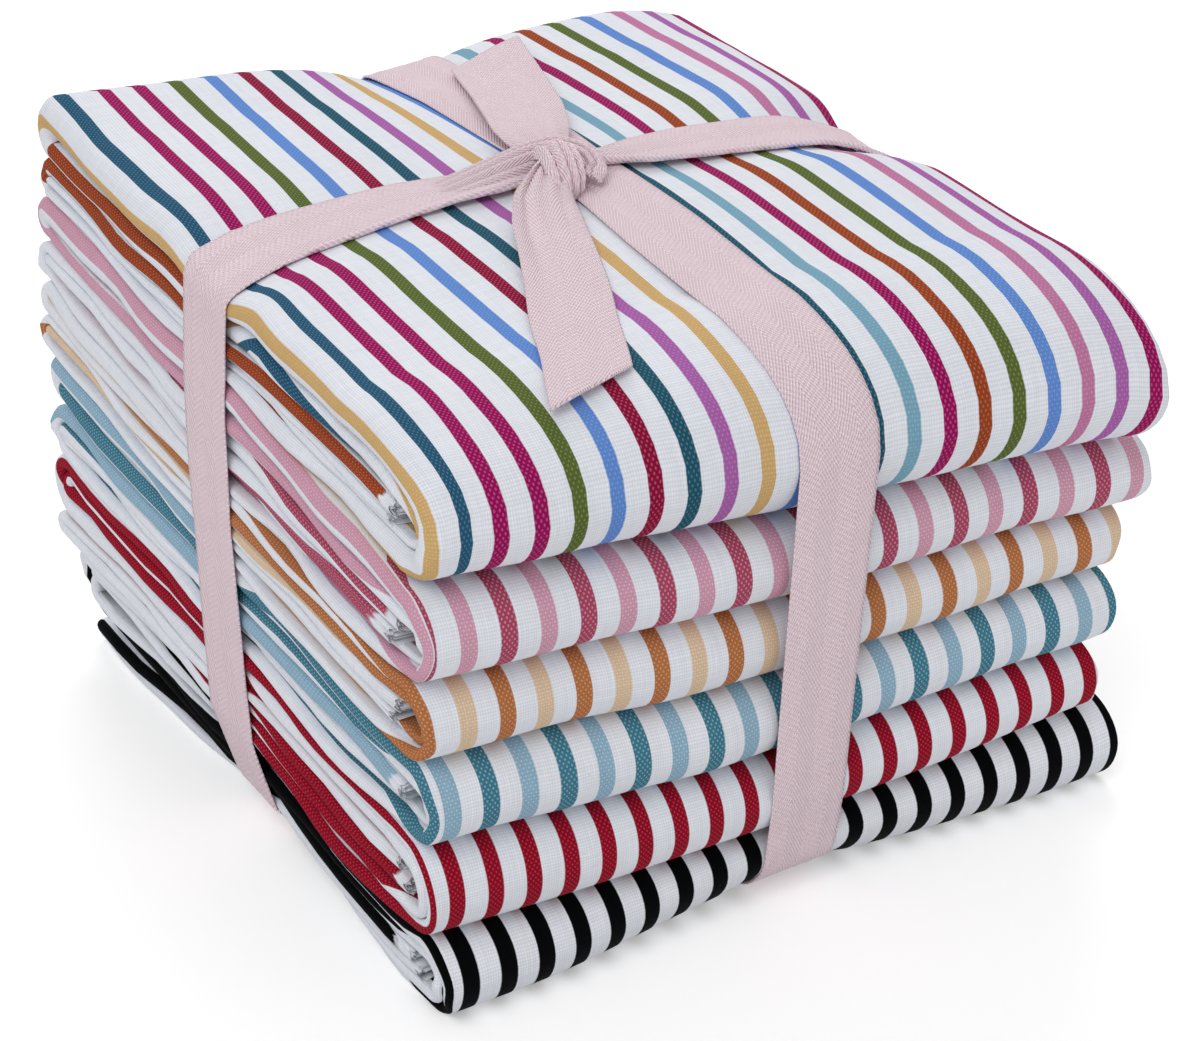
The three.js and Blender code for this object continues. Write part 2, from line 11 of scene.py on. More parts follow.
from __future__ import annotations
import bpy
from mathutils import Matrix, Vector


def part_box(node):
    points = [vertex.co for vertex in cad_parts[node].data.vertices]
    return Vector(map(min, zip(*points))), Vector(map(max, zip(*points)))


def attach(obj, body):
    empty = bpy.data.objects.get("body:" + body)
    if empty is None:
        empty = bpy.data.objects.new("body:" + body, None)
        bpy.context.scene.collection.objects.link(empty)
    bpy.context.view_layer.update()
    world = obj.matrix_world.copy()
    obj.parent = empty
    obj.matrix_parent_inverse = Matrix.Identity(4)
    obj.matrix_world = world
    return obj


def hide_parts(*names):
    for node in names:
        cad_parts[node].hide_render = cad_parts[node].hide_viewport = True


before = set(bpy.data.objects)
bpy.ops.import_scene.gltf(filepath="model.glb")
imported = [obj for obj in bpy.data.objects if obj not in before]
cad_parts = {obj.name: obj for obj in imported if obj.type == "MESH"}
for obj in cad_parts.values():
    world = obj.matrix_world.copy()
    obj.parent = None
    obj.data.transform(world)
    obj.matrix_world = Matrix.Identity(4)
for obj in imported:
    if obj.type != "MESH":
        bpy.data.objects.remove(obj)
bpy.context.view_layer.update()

import logging
import math
from collections.abc import Callable
from dataclasses import dataclass
from enum import Enum
from typing import Any, NamedTuple, Union

import bpy
import numpy as np
from mathutils import Matrix, Vector

LOG = logging.getLogger("bundle")
MM = 0.001
BODY = "root"

Array = np.ndarray
Value = Union[float, Array]
Surface = Callable[[Value, Value], Value]

# Pairs of a place and a value.
Line = tuple[tuple[float, float], ...]
# Cells along the inner runs, round the rear turn, round the front fold and along the last run.
Cells = tuple[int, int, int, int]
# Y and Z of a middle line's points, then Y and Z of its outward directions.
Course = tuple[Array, Array, Array, Array]


# ---- Small helpers ----


def mix(a: Value, b: Value, share: Value) -> Value:
    """Straight-line blend of a and b."""
    return a + (b - a) * share


def smooth(value: Value, low: float, high: float) -> Value:
    """0 below low, 1 above high and a smooth step between them."""
    share = np.clip((value - low) / (high - low), 0.0, 1.0)
    return share * share * (3.0 - 2.0 * share)


def unit(vectors: Array) -> Array:
    """Vectors of length one."""
    return vectors / np.linalg.norm(vectors, axis=-1, keepdims=True)


def shares(cells: int) -> Array:
    """Even shares from 0 to 1."""
    return np.linspace(0.0, 1.0, cells + 1)


def bell(distance: Value, width: float) -> Value:
    """A bell curve of height one."""
    return np.exp(-((distance / width) ** 2))


def linear(colour: tuple[int, int, int]) -> tuple[float, float, float, float]:
    """Turns an 8-bit screen colour into the linear values that shaders use.

    Args:
        colour: Red, green and blue from 0 to 255.

    Returns:
        Linear red, green and blue, and an alpha of one.
    """
    parts = []
    for value in colour:
        share = value / 255.0
        parts.append(share / 12.92 if share <= 0.04045 else ((share + 0.055) / 1.055) ** 2.4)
    return (*parts, 1.0)


@dataclass(frozen=True)
class Waves:
    """Smooth repeatable unevenness: a sum of sine waves over X and Y.

    Attributes:
        seed: Picks the directions and phases.
        height: Root-mean-square height.
        shortest, longest: Shortest and longest wavelength.
        stretch: How much longer the waves are along Y than along X.
        count: Number of sine waves.
    """

    seed: int
    height: float
    shortest: float
    longest: float
    stretch: float = 1.0
    count: int = 9

    def __call__(self, x: Value, y: Value) -> Value:
        """Height of the waves at a place.

        Args:
            x, y: The place.

        Returns:
            The height.
        """
        rng = np.random.default_rng(self.seed)
        lengths = np.exp(rng.uniform(math.log(self.shortest), math.log(self.longest), self.count))
        turns = rng.uniform(0.0, 2.0 * math.pi, self.count)
        phases = rng.uniform(0.0, 2.0 * math.pi, self.count)
        weights = np.sqrt(lengths / self.longest)
        total = 0.0
        for length, turn, phase, weight in zip(lengths, turns, phases, weights):
            along = x * math.cos(turn) + y * math.sin(turn) / self.stretch
            total = total + weight * np.sin(2.0 * math.pi * along / length + phase)
        return self.height * total / math.sqrt(0.5 * float(np.sum(weights**2)))


class MeshBuilder:
    """Turns point grids and faces into Blender objects.

    Attributes:
        FRAY: Name of the values that say how near a point is to a cut end.
    """

    FRAY = "fray"

    @staticmethod
    def build(name: str, points: Array, quads: Array, flat: Array, material: bpy.types.Material,
              origin: Vector) -> bpy.types.Object:
        """Makes one smooth-shaded object.

        Args:
            name: Name of the piece.
            points: Corner places in the stack's own axes, as rows of three.
            quads: Faces as rows of four corner numbers.
            flat: Place on the flat cloth in metres, as rows of two for each corner, or for each
                corner of each face.
            material: Finish of the piece.
            origin: Where the stack's own axes start in the part.

        Returns:
            The new object.
        """
        flat = flat[quads] if flat.ndim == 2 else flat
        if MeshBuilder.volume(points, quads) < 0.0:
            quads, flat = quads[:, ::-1], flat[:, ::-1]
        mesh = bpy.data.meshes.new(name)
        mesh.vertices.add(len(points))
        mesh.vertices.foreach_set("co", ((points + np.array(origin)) * MM).astype(np.float32).ravel())
        mesh.loops.add(quads.size)
        mesh.loops.foreach_set("vertex_index", quads.astype(np.int32).ravel())
        mesh.polygons.add(len(quads))
        mesh.polygons.foreach_set("loop_start", np.arange(0, quads.size, 4, dtype=np.int32))
        mesh.polygons.foreach_set("loop_total", np.full(len(quads), 4, dtype=np.int32))
        layer = mesh.uv_layers.new(name="flat")
        layer.data.foreach_set("uv", flat.astype(np.float32).ravel())
        mesh.update(calc_edges=True)
        mesh.validate()
        mesh.polygons.foreach_set("use_smooth", np.ones(len(mesh.polygons), dtype=bool))
        mesh.materials.append(material)
        piece = bpy.data.objects.new(name, mesh)
        bpy.context.scene.collection.objects.link(piece)
        return piece

    @staticmethod
    def volume(points: Array, quads: Array) -> float:
        """Signed volume inside a closed skin; it is negative where the faces look inwards."""
        a, b, c, d = (points[quads[:, index]] for index in range(4))
        return float(np.sum(np.cross(a, b) * c) + np.sum(np.cross(a, c) * d)) / 6.0

    @staticmethod
    def between(near: Array, far: Array, turned: bool) -> Array:
        """Faces between two rows of points, or between two stacks of rows.

        Args:
            near: Numbers of one row's points.
            far: Numbers of the other row's points.
            turned: Whether the faces look the other way.

        Returns:
            Faces as rows of four corner numbers.
        """
        a, b = near[..., :-1], near[..., 1:]
        c, d = far[..., 1:], far[..., :-1]
        order = (a, d, c, b) if turned else (a, b, c, d)
        return np.stack(order, axis=-1).reshape(-1, 4)

    @staticmethod
    def closed_sheet(front: Array, back: Array) -> tuple[Array, Array]:
        """Joins two grids of the same shape into one closed skin.

        Args:
            front: Points of one face as rows, columns and three.
            back: Points of the other face.

        Returns:
            The points as one list, and the faces.
        """
        rows, columns = front.shape[:2]
        number = np.arange(rows * columns).reshape(rows, columns)
        other = number + rows * columns
        quads = np.concatenate([
            MeshBuilder.between(number[:-1], number[1:], False),
            MeshBuilder.between(other[:-1], other[1:], True),
            MeshBuilder.between(number[0], other[0], True),
            MeshBuilder.between(number[-1], other[-1], False),
            MeshBuilder.between(number[:, 0], other[:, 0], False),
            MeshBuilder.between(number[:, -1], other[:, -1], True),
        ])
        return np.concatenate([front.reshape(-1, 3), back.reshape(-1, 3)]), quads


# ---- Finishes ----


class Hue(Enum):
    """Screen colours of the dyes."""

    WHITE = (234, 237, 244)
    BLACK = (3, 4, 6)
    RED = (153, 6, 36)
    TEAL = (59, 124, 145)
    SKY = (145, 181, 203)
    RUST = (185, 113, 58)
    TAN = (224, 196, 164)
    ROSE = (174, 68, 98)
    PINK = (212, 156, 178)
    MUSTARD = (212, 174, 114)
    STEEL = (34, 88, 118)
    MAGENTA = (158, 8, 92)
    OLIVE = (90, 106, 42)
    BLUE = (98, 142, 214)
    CRIMSON = (146, 8, 58)
    DEEP_TEAL = (28, 86, 106)
    PURPLE = (172, 98, 172)
    LIGHT_TEAL = (124, 170, 192)
    CINNAMON = (158, 66, 24)
    LILAC = (196, 122, 164)
    TAPE = (252, 229, 237)


Socket = bpy.types.NodeSocket
Input = Union[float, tuple[float, ...], Socket]


class Graph:
    """A small writer of shader node graphs."""

    def __init__(self, name: str) -> None:
        """Starts a material with an empty graph.

        Args:
            name: Name of the material.
        """
        self.material = bpy.data.materials.new(name)
        self.material.use_nodes = True
        self.tree = self.material.node_tree
        self.tree.nodes.clear()
        self.output = self.node("ShaderNodeOutputMaterial")
        self.shader = self.node("ShaderNodeBsdfPrincipled")
        self.join(self.shader.outputs["BSDF"], self.output.inputs["Surface"])

    def node(self, kind: str, **settings: Any) -> bpy.types.Node:
        """Adds a node.

        Args:
            kind: Its type.
            **settings: Its properties.

        Returns:
            The node.
        """
        made = self.tree.nodes.new(kind)
        for key, value in settings.items():
            setattr(made, key, value)
        return made

    def join(self, source: Socket, target: Socket) -> None:
        """Links an output to an input."""
        self.tree.links.new(source, target)

    def feed(self, value: Input, target: Socket) -> None:
        """Links or sets an input, whichever the value needs.

        Args:
            value: An output, or a plain value.
            target: The input.
        """
        if isinstance(value, bpy.types.NodeSocket):
            self.join(value, target)
        else:
            target.default_value = value

    def math(self, operation: str, first: Input, second: Input | None = None,
             third: Input | None = None) -> Socket:
        """Adds a math node.

        Args:
            operation: What it does.
            first, second, third: Its inputs.

        Returns:
            Its result.
        """
        made = self.node("ShaderNodeMath", operation=operation)
        for socket, value in zip(made.inputs, (first, second, third)):
            if value is not None:
                self.feed(value, socket)
        return made.outputs[0]

    def plus(self, first: Input, second: Input) -> Socket:
        """The sum of two values."""
        return self.math("ADD", first, second)

    def minus(self, first: Input, second: Input) -> Socket:
        """The first value less the second."""
        return self.math("SUBTRACT", first, second)

    def times(self, first: Input, second: Input) -> Socket:
        """The product of two values."""
        return self.math("MULTIPLY", first, second)

    def blend(self, share: Input, first: Input, second: Input, mode: str = "MIX") -> Socket:
        """Adds a colour mix.

        Args:
            share: How far it goes from the first colour to the second.
            first, second: The colours.
            mode: How they are put together.

        Returns:
            The mixed colour.
        """
        made = self.node("ShaderNodeMix", data_type="RGBA", blend_type=mode)
        self.feed(share, made.inputs[0])
        self.feed(first, made.inputs[6])
        self.feed(second, made.inputs[7])
        return made.outputs[2]

    def noise(self, place: Socket, scale: float, detail: float = 2.0) -> Socket:
        """Adds a noise texture.

        Args:
            place: Where it is read.
            scale: Its waves in a unit of place.
            detail: How fine it goes.

        Returns:
            Its value, about 0 to 1.
        """
        made = self.node("ShaderNodeTexNoise")
        self.join(place, made.inputs["Vector"])
        made.inputs["Scale"].default_value = scale
        made.inputs["Detail"].default_value = detail
        return made.outputs["Fac"]

    def vector(self, x: Input, y: Input, z: Input = 0.0) -> Socket:
        """Puts three values together.

        Args:
            x, y, z: The values.

        Returns:
            The vector.
        """
        made = self.node("ShaderNodeCombineXYZ")
        for socket, value in zip(made.inputs, (x, y, z)):
            self.feed(value, socket)
        return made.outputs[0]

    def step(self, value: Input, low: Input, high: Input) -> Socket:
        """Adds a smooth step.

        Args:
            value: What is stepped.
            low, high: Where the step starts and ends.

        Returns:
            0 below low and 1 above high.
        """
        made = self.node("ShaderNodeMapRange", interpolation_type="SMOOTHSTEP")
        self.feed(value, made.inputs["Value"])
        self.feed(low, made.inputs["From Min"])
        self.feed(high, made.inputs["From Max"])
        return made.outputs[0]

    def flat_place(self) -> tuple[Socket, Socket, Socket]:
        """Place on the flat cloth.

        Returns:
            The place across, the place along, and both.
        """
        flat = self.node("ShaderNodeUVMap", uv_map="flat").outputs[0]
        parts = self.node("ShaderNodeSeparateXYZ")
        self.join(flat, parts.inputs[0])
        across = self.times(parts.outputs[0], 1.0 / MM)
        along = self.times(parts.outputs[1], 1.0 / MM)
        return across, along, self.vector(across, along)

    def surface(self, roughness: float, sheen: float, specular: float) -> None:
        """Sets how the surface takes light.

        Args:
            roughness: How matt it is.
            sheen: Strength of its fuzz.
            specular: Strength of its highlights.
        """
        self.shader.inputs["Roughness"].default_value = roughness
        self.shader.inputs["Sheen Weight"].default_value = sheen
        self.shader.inputs["Specular IOR Level"].default_value = specular

    def patches(self, place: Socket, scale: float, detail: float, share: float, least: float) -> Socket:
        """Broad patches of a slightly different brightness.

        Args:
            place: Where they are read.
            scale, detail: As in noise.
            share: How far they differ.
            least: Brightness of the darkest.

        Returns:
            The brightness.
        """
        return self.plus(self.times(self.noise(place, scale, detail), share), least)

    def emboss(self, height: Socket, depth: float, strength: float) -> None:
        """Gives the surface a fine relief.

        Args:
            height: The relief, about -1 to 1.
            depth: What 1 stands for.
            strength: How strongly it shows.
        """
        bump = self.node("ShaderNodeBump")
        bump.inputs["Strength"].default_value = strength
        bump.inputs["Distance"].default_value = depth * MM
        self.join(height, bump.inputs["Height"])
        self.join(bump.outputs[0], self.shader.inputs["Normal"])


@dataclass(frozen=True)
class Stripes:
    """A stripe repeat, woven along the cloth's length.

    Attributes:
        pitch: From one stripe's left edge to the next.
        start: Left edge of stripe 0.
        width: Share of the pitch that is coloured.
        hues: Colours in order from stripe 0.
        bow: How far the stripes lie aside in the middle of the folded cut.
        weft: How strongly the white weft shows on the stripes.
        edge_drift: How far a stripe's edge strays.
    """

    pitch: float
    start: float
    width: float
    hues: tuple[Hue, ...]
    bow: float = 0.0
    weft: float = 0.10
    edge_drift: float = 0.12


@dataclass(frozen=True)
class CottonFinish:
    """Plain-woven quilting cotton with coloured warp stripes.

    Attributes:
        threads: Threads in a millimetre each way.
        roughness, sheen, sheen_roughness, specular: How the surface takes light.
        bump: Depth of the weave.
        bump_strength: How strongly that depth shows.
        weave_relief, slub_relief: Shares of that depth in the weave and in the slubs.
        stray, stray_waves: How far threads wander, and their waves in a millimetre.
        soft_edge: Width of a stripe's edge, as a share of the pitch.
        dot: Where a weft thread starts to show and where it shows fully.
        loose: The same for the weft threads that hang out of the cut ends.
        slub: Slubs in a millimetre of thread.
        slub_tone: How far slubs change the brightness.
        gap_painted_shade: Painted shade: how far the gaps between threads are darkened.
        thread_painted_light: Brightness of a thread's middle, where painted light falls on the weave.
        patch_tone: How far broad patches differ in brightness.
        speck, speck_waves: Where on a fine noise a dark speck starts and ends, and the noise's waves.
        speck_share, speck_colour: How strong a speck is, and its screen colour.
    """

    threads: float = 2.11
    roughness: float = 0.86
    sheen: float = 0.01
    sheen_roughness: float = 0.6
    specular: float = 0.03
    bump: float = 0.06
    bump_strength: float = 0.55
    weave_relief: float = 0.45
    slub_relief: float = 0.8
    stray: float = 0.9
    stray_waves: float = 0.09
    soft_edge: float = 0.03
    dot: tuple[float, float] = (0.52, 0.90)
    loose: tuple[float, float] = (0.55, 0.85)
    slub: float = 0.12
    slub_tone: float = 0.15
    gap_painted_shade: float = 0.20
    thread_painted_light: float = 1.07
    patch_tone: float = 0.10
    speck: tuple[float, float] = (0.80, 0.83)
    speck_waves: float = 1.3
    speck_share: float = 0.35
    speck_colour: tuple[int, int, int] = (96, 100, 110)

    def material(self, name: str, stripes: Stripes) -> bpy.types.Material:
        """Builds the material of one cut.

        Args:
            name: Name of the material.
            stripes: The cut's stripes.

        Returns:
            The material.
        """
        graph = Graph(name)
        across, along, place = graph.flat_place()

        # Threads wander a little, and so do the edges of the stripes.
        wander = graph.minus(graph.noise(place, self.stray_waves, 2.0), 0.5)
        wander = graph.times(wander, self.stray)
        across_now = graph.plus(across, graph.times(wander, stripes.edge_drift * 4.0))

        # One thread each way.
        warp_at = graph.times(across_now, self.threads)
        weft_at = graph.times(graph.plus(along, wander), self.threads)
        warp_turn = graph.times(warp_at, math.pi)
        weft_turn = graph.times(weft_at, math.pi)
        checker = graph.times(graph.math("SINE", warp_turn), graph.math("SINE", weft_turn))

        # A thread is as thick as it was spun: slubs run along single threads.
        warp_place = graph.vector(graph.math("FLOOR", warp_at), graph.times(along, self.slub))
        weft_place = graph.vector(graph.times(across, self.slub), graph.math("FLOOR", weft_at))
        slubs = graph.plus(graph.noise(warp_place, 0.9), graph.noise(weft_place, 0.9))
        slub = graph.minus(slubs, 1.0)

        colour = self.dyed(graph, stripes, across_now, place, checker)
        shade = self.shade(graph, place, checker, slub)
        colour = graph.blend(1.0, colour, graph.vector(shade, shade, shade), "MULTIPLY")
        specks = graph.step(graph.noise(place, self.speck_waves, 1.0), *self.speck)
        colour = graph.blend(graph.times(specks, self.speck_share), colour, linear(self.speck_colour))
        graph.join(colour, graph.shader.inputs["Base Color"])

        height = graph.plus(graph.times(checker, self.weave_relief), graph.times(slub, self.slub_relief))
        graph.emboss(height, self.bump, self.bump_strength)
        graph.surface(self.roughness, self.sheen, self.specular)
        graph.shader.inputs["Sheen Roughness"].default_value = self.sheen_roughness
        return graph.material

    def dyed(self, graph: Graph, stripes: Stripes, across: Socket, place: Socket, checker: Socket) -> Socket:
        """Colour of the threads that lie on top.

        Args:
            graph: The material's graph.
            stripes: The cut's stripes.
            across: Place across the cloth.
            place: Place on the cloth.
            checker: 1 where weft lies on top, and -1 where warp does.

        Returns:
            The colour.
        """
        count = graph.math("DIVIDE", graph.minus(across, stripes.start), stripes.pitch)
        phase = graph.math("FRACT", count)
        number = graph.plus(graph.math("FLOOR", count), 0.5)
        rank = graph.math("WRAP", number, float(len(stripes.hues)), 0.0)
        ramp = graph.node("ShaderNodeValToRGB")
        ramp.color_ramp.interpolation = "CONSTANT"
        elements = ramp.color_ramp.elements
        while len(elements) < len(stripes.hues):
            elements.new(1.0)
        for index, hue in enumerate(stripes.hues):
            elements[index].position = index / len(stripes.hues)
            elements[index].color = linear(hue.value)
        if len(stripes.hues) == 1:
            elements[1].color = linear(stripes.hues[0].value)
        graph.join(graph.math("DIVIDE", rank, float(len(stripes.hues))), ramp.inputs[0])

        # Where a white weft thread passes over a coloured warp thread, a light dot shows.
        inside = graph.times(
            graph.step(phase, 0.0, self.soft_edge),
            graph.minus(1.0, graph.step(phase, stripes.width - self.soft_edge, stripes.width)),
        )
        over = graph.plus(graph.times(checker, 0.5), 0.5)
        dots = graph.times(graph.step(over, *self.dot), stripes.weft)
        dyed = graph.times(inside, graph.minus(1.0, dots))

        # White weft threads hang out of the cut ends.
        loose = graph.node("ShaderNodeAttribute", attribute_name=MeshBuilder.FRAY).outputs["Fac"]
        loose = graph.plus(loose, graph.times(graph.noise(place, 0.6, 2.0), 0.5))
        dyed = graph.times(dyed, graph.minus(1.0, graph.step(loose, *self.loose)))
        return graph.blend(dyed, linear(Hue.WHITE.value), ramp.outputs[0])

    def shade(self, graph: Graph, place: Socket, checker: Socket, slub: Socket) -> Socket:
        """Brightness of the cloth: painted shade in the gaps between threads, and slubs lighter or darker.

        Args:
            graph: The material's graph.
            place: Place on the cloth.
            checker: 1 where weft lies on top, and -1 where warp does.
            slub: How much thicker the threads are there.

        Returns:
            The brightness, about one.
        """
        shade = graph.plus(graph.times(slub, self.slub_tone), 1.0)
        # Painted shade: the gaps between threads are darkened, and the threads' middles painted lighter.
        gaps = graph.minus(1.0, graph.math("ABSOLUTE", checker))
        gaps = graph.times(gaps, self.gap_painted_shade)
        shade = graph.times(shade, graph.minus(self.thread_painted_light, gaps))
        return graph.times(shade, graph.patches(place, 0.03, 3.0, self.patch_tone, 0.95))


@dataclass(frozen=True)
class TapeFinish:
    """Cotton herringbone twill tape.

    Attributes:
        rib: Distance from one twill line to the next, along the tape.
        chevron: Width of one arm of the herringbone.
        steepness: How far a twill line goes along for each millimetre across.
        rib_painted_shade: Painted shade and light across the twill lines: how far they change the
            brightness.
            fuzz_tone, patch_tone: How far fuzz and broad patches change the brightness.
        threads: Threads in a millimetre across.
        roughness, sheen, specular: How the surface takes light.
        bump: Depth of the twill lines.
        bump_strength: How strongly that depth shows.
        thread_relief, fuzz_relief: Depth of the threads and of the fuzz, as shares of the lines'.
    """

    rib: float = 1.1
    chevron: float = 3.8
    steepness: float = 1.9
    rib_painted_shade: float = 0.12
    fuzz_tone: float = 0.12
    patch_tone: float = 0.08
    threads: float = 2.4
    roughness: float = 0.85
    sheen: float = 0.08
    specular: float = 0.15
    bump: float = 0.22
    bump_strength: float = 0.7
    thread_relief: float = 0.35
    fuzz_relief: float = 0.8

    def material(self, name: str) -> bpy.types.Material:
        """Builds the material of the tie.

        Args:
            name: Name of the material.

        Returns:
            The material.
        """
        graph = Graph(name)
        across, along, place = graph.flat_place()
        zigzag = graph.times(graph.math("PINGPONG", across, self.chevron), self.steepness)
        line = graph.math("DIVIDE", graph.plus(along, zigzag), self.rib)
        rib = graph.math("SINE", graph.times(line, 2.0 * math.pi))
        thread = graph.math("SINE", graph.times(across, 2.0 * math.pi * self.threads))
        fuzz = graph.noise(place, 2.2, 3.0)
        # Painted shade and light along the twill lines, on top of their bump.
        shade = graph.plus(graph.times(rib, self.rib_painted_shade), 1.0)
        stray = graph.times(graph.minus(fuzz, 0.5), self.fuzz_tone)
        shade = graph.plus(shade, stray)
        shade = graph.times(shade, graph.patches(place, 0.08, 2.0, self.patch_tone, 0.96))
        colour = graph.blend(1.0, linear(Hue.TAPE.value), graph.vector(shade, shade, shade), "MULTIPLY")
        graph.join(colour, graph.shader.inputs["Base Color"])
        height = graph.plus(rib, graph.times(thread, self.thread_relief))
        height = graph.plus(height, graph.times(fuzz, self.fuzz_relief))
        graph.emboss(height, self.bump, self.bump_strength)
        graph.surface(self.roughness, self.sheen, self.specular)
        return graph.material


# ---- Shape of the stack ----

HALF_WIDTH = 70.0
HALF_DEPTH = 77.0
# Places in Y of a boundary's heights on the left edge.
EDGE_STATIONS = (-77.0, -62.0, -40.0, -10.0, 15.0, 45.0, 75.0)


@dataclass(frozen=True)
class Boundary:
    """The surface between one cut and the next.

    Attributes:
        front_left, front_right, rear_left, rear_right: Heights at the stack's corners.
        sag: How far the tie pulls it down at the middle of the front edge.
        left_edge: How much higher it lies on the left edge, at EDGE_STATIONS.
        waves: Its unevenness, shared by the two cuts that meet here.
        sag_width, sag_depth: How far the sag reaches along X and along Y.
        fade_from, fade_to: Where in X the left edge's heights start and stop fading out.
    """

    front_left: float
    front_right: float
    rear_left: float
    rear_right: float
    sag: float
    left_edge: tuple[float, ...]
    waves: Waves
    sag_width: float = 45.0
    sag_depth: float = 50.0
    fade_from: float = -62.0
    fade_to: float = -12.0

    def __call__(self, x: Value, y: Value) -> Value:
        """Height at a place.

        Args:
            x, y: The place.

        Returns:
            The height.
        """
        across = (x + HALF_WIDTH) / (2.0 * HALF_WIDTH)
        along = (y + HALF_DEPTH) / (2.0 * HALF_DEPTH)
        front = mix(self.front_left, self.front_right, across)
        rear = mix(self.rear_left, self.rear_right, across)
        pull = bell(x, self.sag_width) * bell(y + HALF_DEPTH, self.sag_depth)
        fade = 1.0 - smooth(x, self.fade_from, self.fade_to)
        aside = np.interp(y, EDGE_STATIONS, self.left_edge) * fade
        return mix(front, rear, along) - self.sag * pull + aside + self.waves(x, y)


@dataclass(frozen=True)
class Underside:
    """The flat underside, with a shallow groove where each run of the tape passes.

    Attributes:
        depth: How deep the grooves are.
        flat: Half the width of their flat part.
        slope: Width of their sides.
        run_x: Middle of the groove along Y.
        run_y: Middle of the groove along X.
        lift: Height of the rest of the underside.
    """

    depth: float = 1.3
    flat: float = 9.0
    slope: float = 5.0
    run_x: float = 2.6
    run_y: float = -4.5
    lift: float = 0.1

    def share(self, distance: Value) -> Value:
        """How deep the groove is at a distance from its middle, from 0 to 1."""
        return smooth(self.flat + self.slope - np.abs(distance), 0.0, self.slope)

    def __call__(self, x: Value, y: Value) -> Value:
        """Height at a place."""
        return self.lift + self.depth * (self.share(x - self.run_x) + self.share(y - self.run_y))


@dataclass(frozen=True)
class Crown:
    """The top of the stack: four soft pillows between the two runs of the tie.

    Attributes:
        middle: Height at the middle.
        rise_right, rise_rear, twist: How much higher the right edge, rear edge and corners are.
        bend_across, bend_along: How the plain top curves each way.
        pinch_left, pinch_right, pinch_width: Depths and width of the trough under the tape along X.
        ridge, ridge_x, ridge_width, ridge_tilt, ridge_ends: The hump under the tape along Y.
        rear_left, rear_right: How far the rear corners stand up.
        pillow, pillow_x, pillow_width: The hump in the rear left quarter.
        shoulder_from, shoulder_span, shoulder_drop: Where and how the right side falls off.
        waves: Its unevenness.
    """

    middle: float = 111.4
    rise_right: float = 0.65
    rise_rear: float = 4.2
    twist: float = -1.25
    bend_across: float = -0.5
    bend_along: float = -2.5
    pinch_left: float = 3.8
    pinch_right: float = 7.0
    pinch_width: float = 13.0
    ridge: float = 1.3
    ridge_x: float = 4.0
    ridge_width: float = 14.0
    ridge_tilt: float = -2.55
    ridge_ends: float = -7.45
    rear_left: float = 6.0
    rear_right: float = 2.5
    pillow: float = 3.6
    pillow_x: float = -42.0
    pillow_width: float = 26.0
    shoulder_from: float = 50.0
    shoulder_span: float = 26.0
    shoulder_drop: float = 8.2
    waves: Waves = Waves(41, 0.28, 22.0, 70.0, 1.6)

    def __call__(self, x: Value, y: Value) -> Value:
        """Height at a place, away from the front fold.

        Args:
            x, y: The place.

        Returns:
            The height.
        """
        a = x / HALF_WIDTH
        b = y / HALF_DEPTH
        trough = np.exp(-(np.abs((y - across_line(x)) / self.pinch_width) ** 3))
        ridge = bell(x - self.ridge_x, self.ridge_width)
        shoulder = np.maximum(0.0, (x - self.shoulder_from) / self.shoulder_span) ** 2
        corner = np.where(x < 0.0, self.rear_left, self.rear_right) * (a * np.maximum(0.0, b)) ** 2
        corner = corner + self.pillow * bell(x - self.pillow_x, self.pillow_width) * np.maximum(0.0, b) ** 2
        plain = self.middle + self.rise_right * a + self.rise_rear * b + self.twist * a * b
        bend = self.bend_across * a * a + self.bend_along * b * b
        pinch = np.where(x < 0.0, self.pinch_left, self.pinch_right) * a * a * trough
        tie = ridge * (self.ridge + self.ridge_tilt * b + self.ridge_ends * b * b) - pinch
        return plain + bend + tie + corner - self.shoulder_drop * shoulder + self.waves(x, y)


ACROSS_X = (-72.0, -58.0, -28.0, -8.0, 6.0, 26.0, 55.0, 76.0)
ACROSS_Y = (-1.5, 3.7, 4.9, 0.3, -1.5, 0.8, -0.1, -2.6)
ACROSS_ROUNDED = 12


def across_line(x: Value) -> Value:
    """Centre of the tape's run along X, on top of the stack.

    It goes through the ACROSS places, with its bends rounded over ACROSS_ROUNDED millimetres.

    Args:
        x: The place in X.

    Returns:
        The place in Y.
    """
    fine = np.arange(-100.0, 100.5, 1.0)
    kernel = np.hanning(2 * ACROSS_ROUNDED + 1)
    values = np.pad(np.interp(fine, ACROSS_X, ACROSS_Y), ACROSS_ROUNDED, mode="edge")
    return np.interp(x, fine, np.convolve(values, kernel / kernel.sum(), "valid"))


# Places in Y of the slabs' thicknesses and set-ins, and of their bands.
STATIONS = (-60.0, -10.0, 50.0)
BAND_STATIONS = (-72.0, -58.0, -20.0, 4.0, 50.0)


@dataclass(frozen=True)
class Slab:
    """One eight-ply slab of a folded cut, as its left end shows.

    Attributes:
        thick: Its thickness at the front, in the middle and at the rear.
        band: Stripe that shows on its left fold at the corner, the front, before the tie, behind
            the tie and at the rear. A whole number is the middle of a stripe.
        set_in: How far its left end stands back at the front, in the middle and at the rear.
    """

    thick: tuple[float, float, float]
    band: tuple[float, float, float, float, float]
    set_in: tuple[float, float, float] = (0.0, 0.0, 0.0)


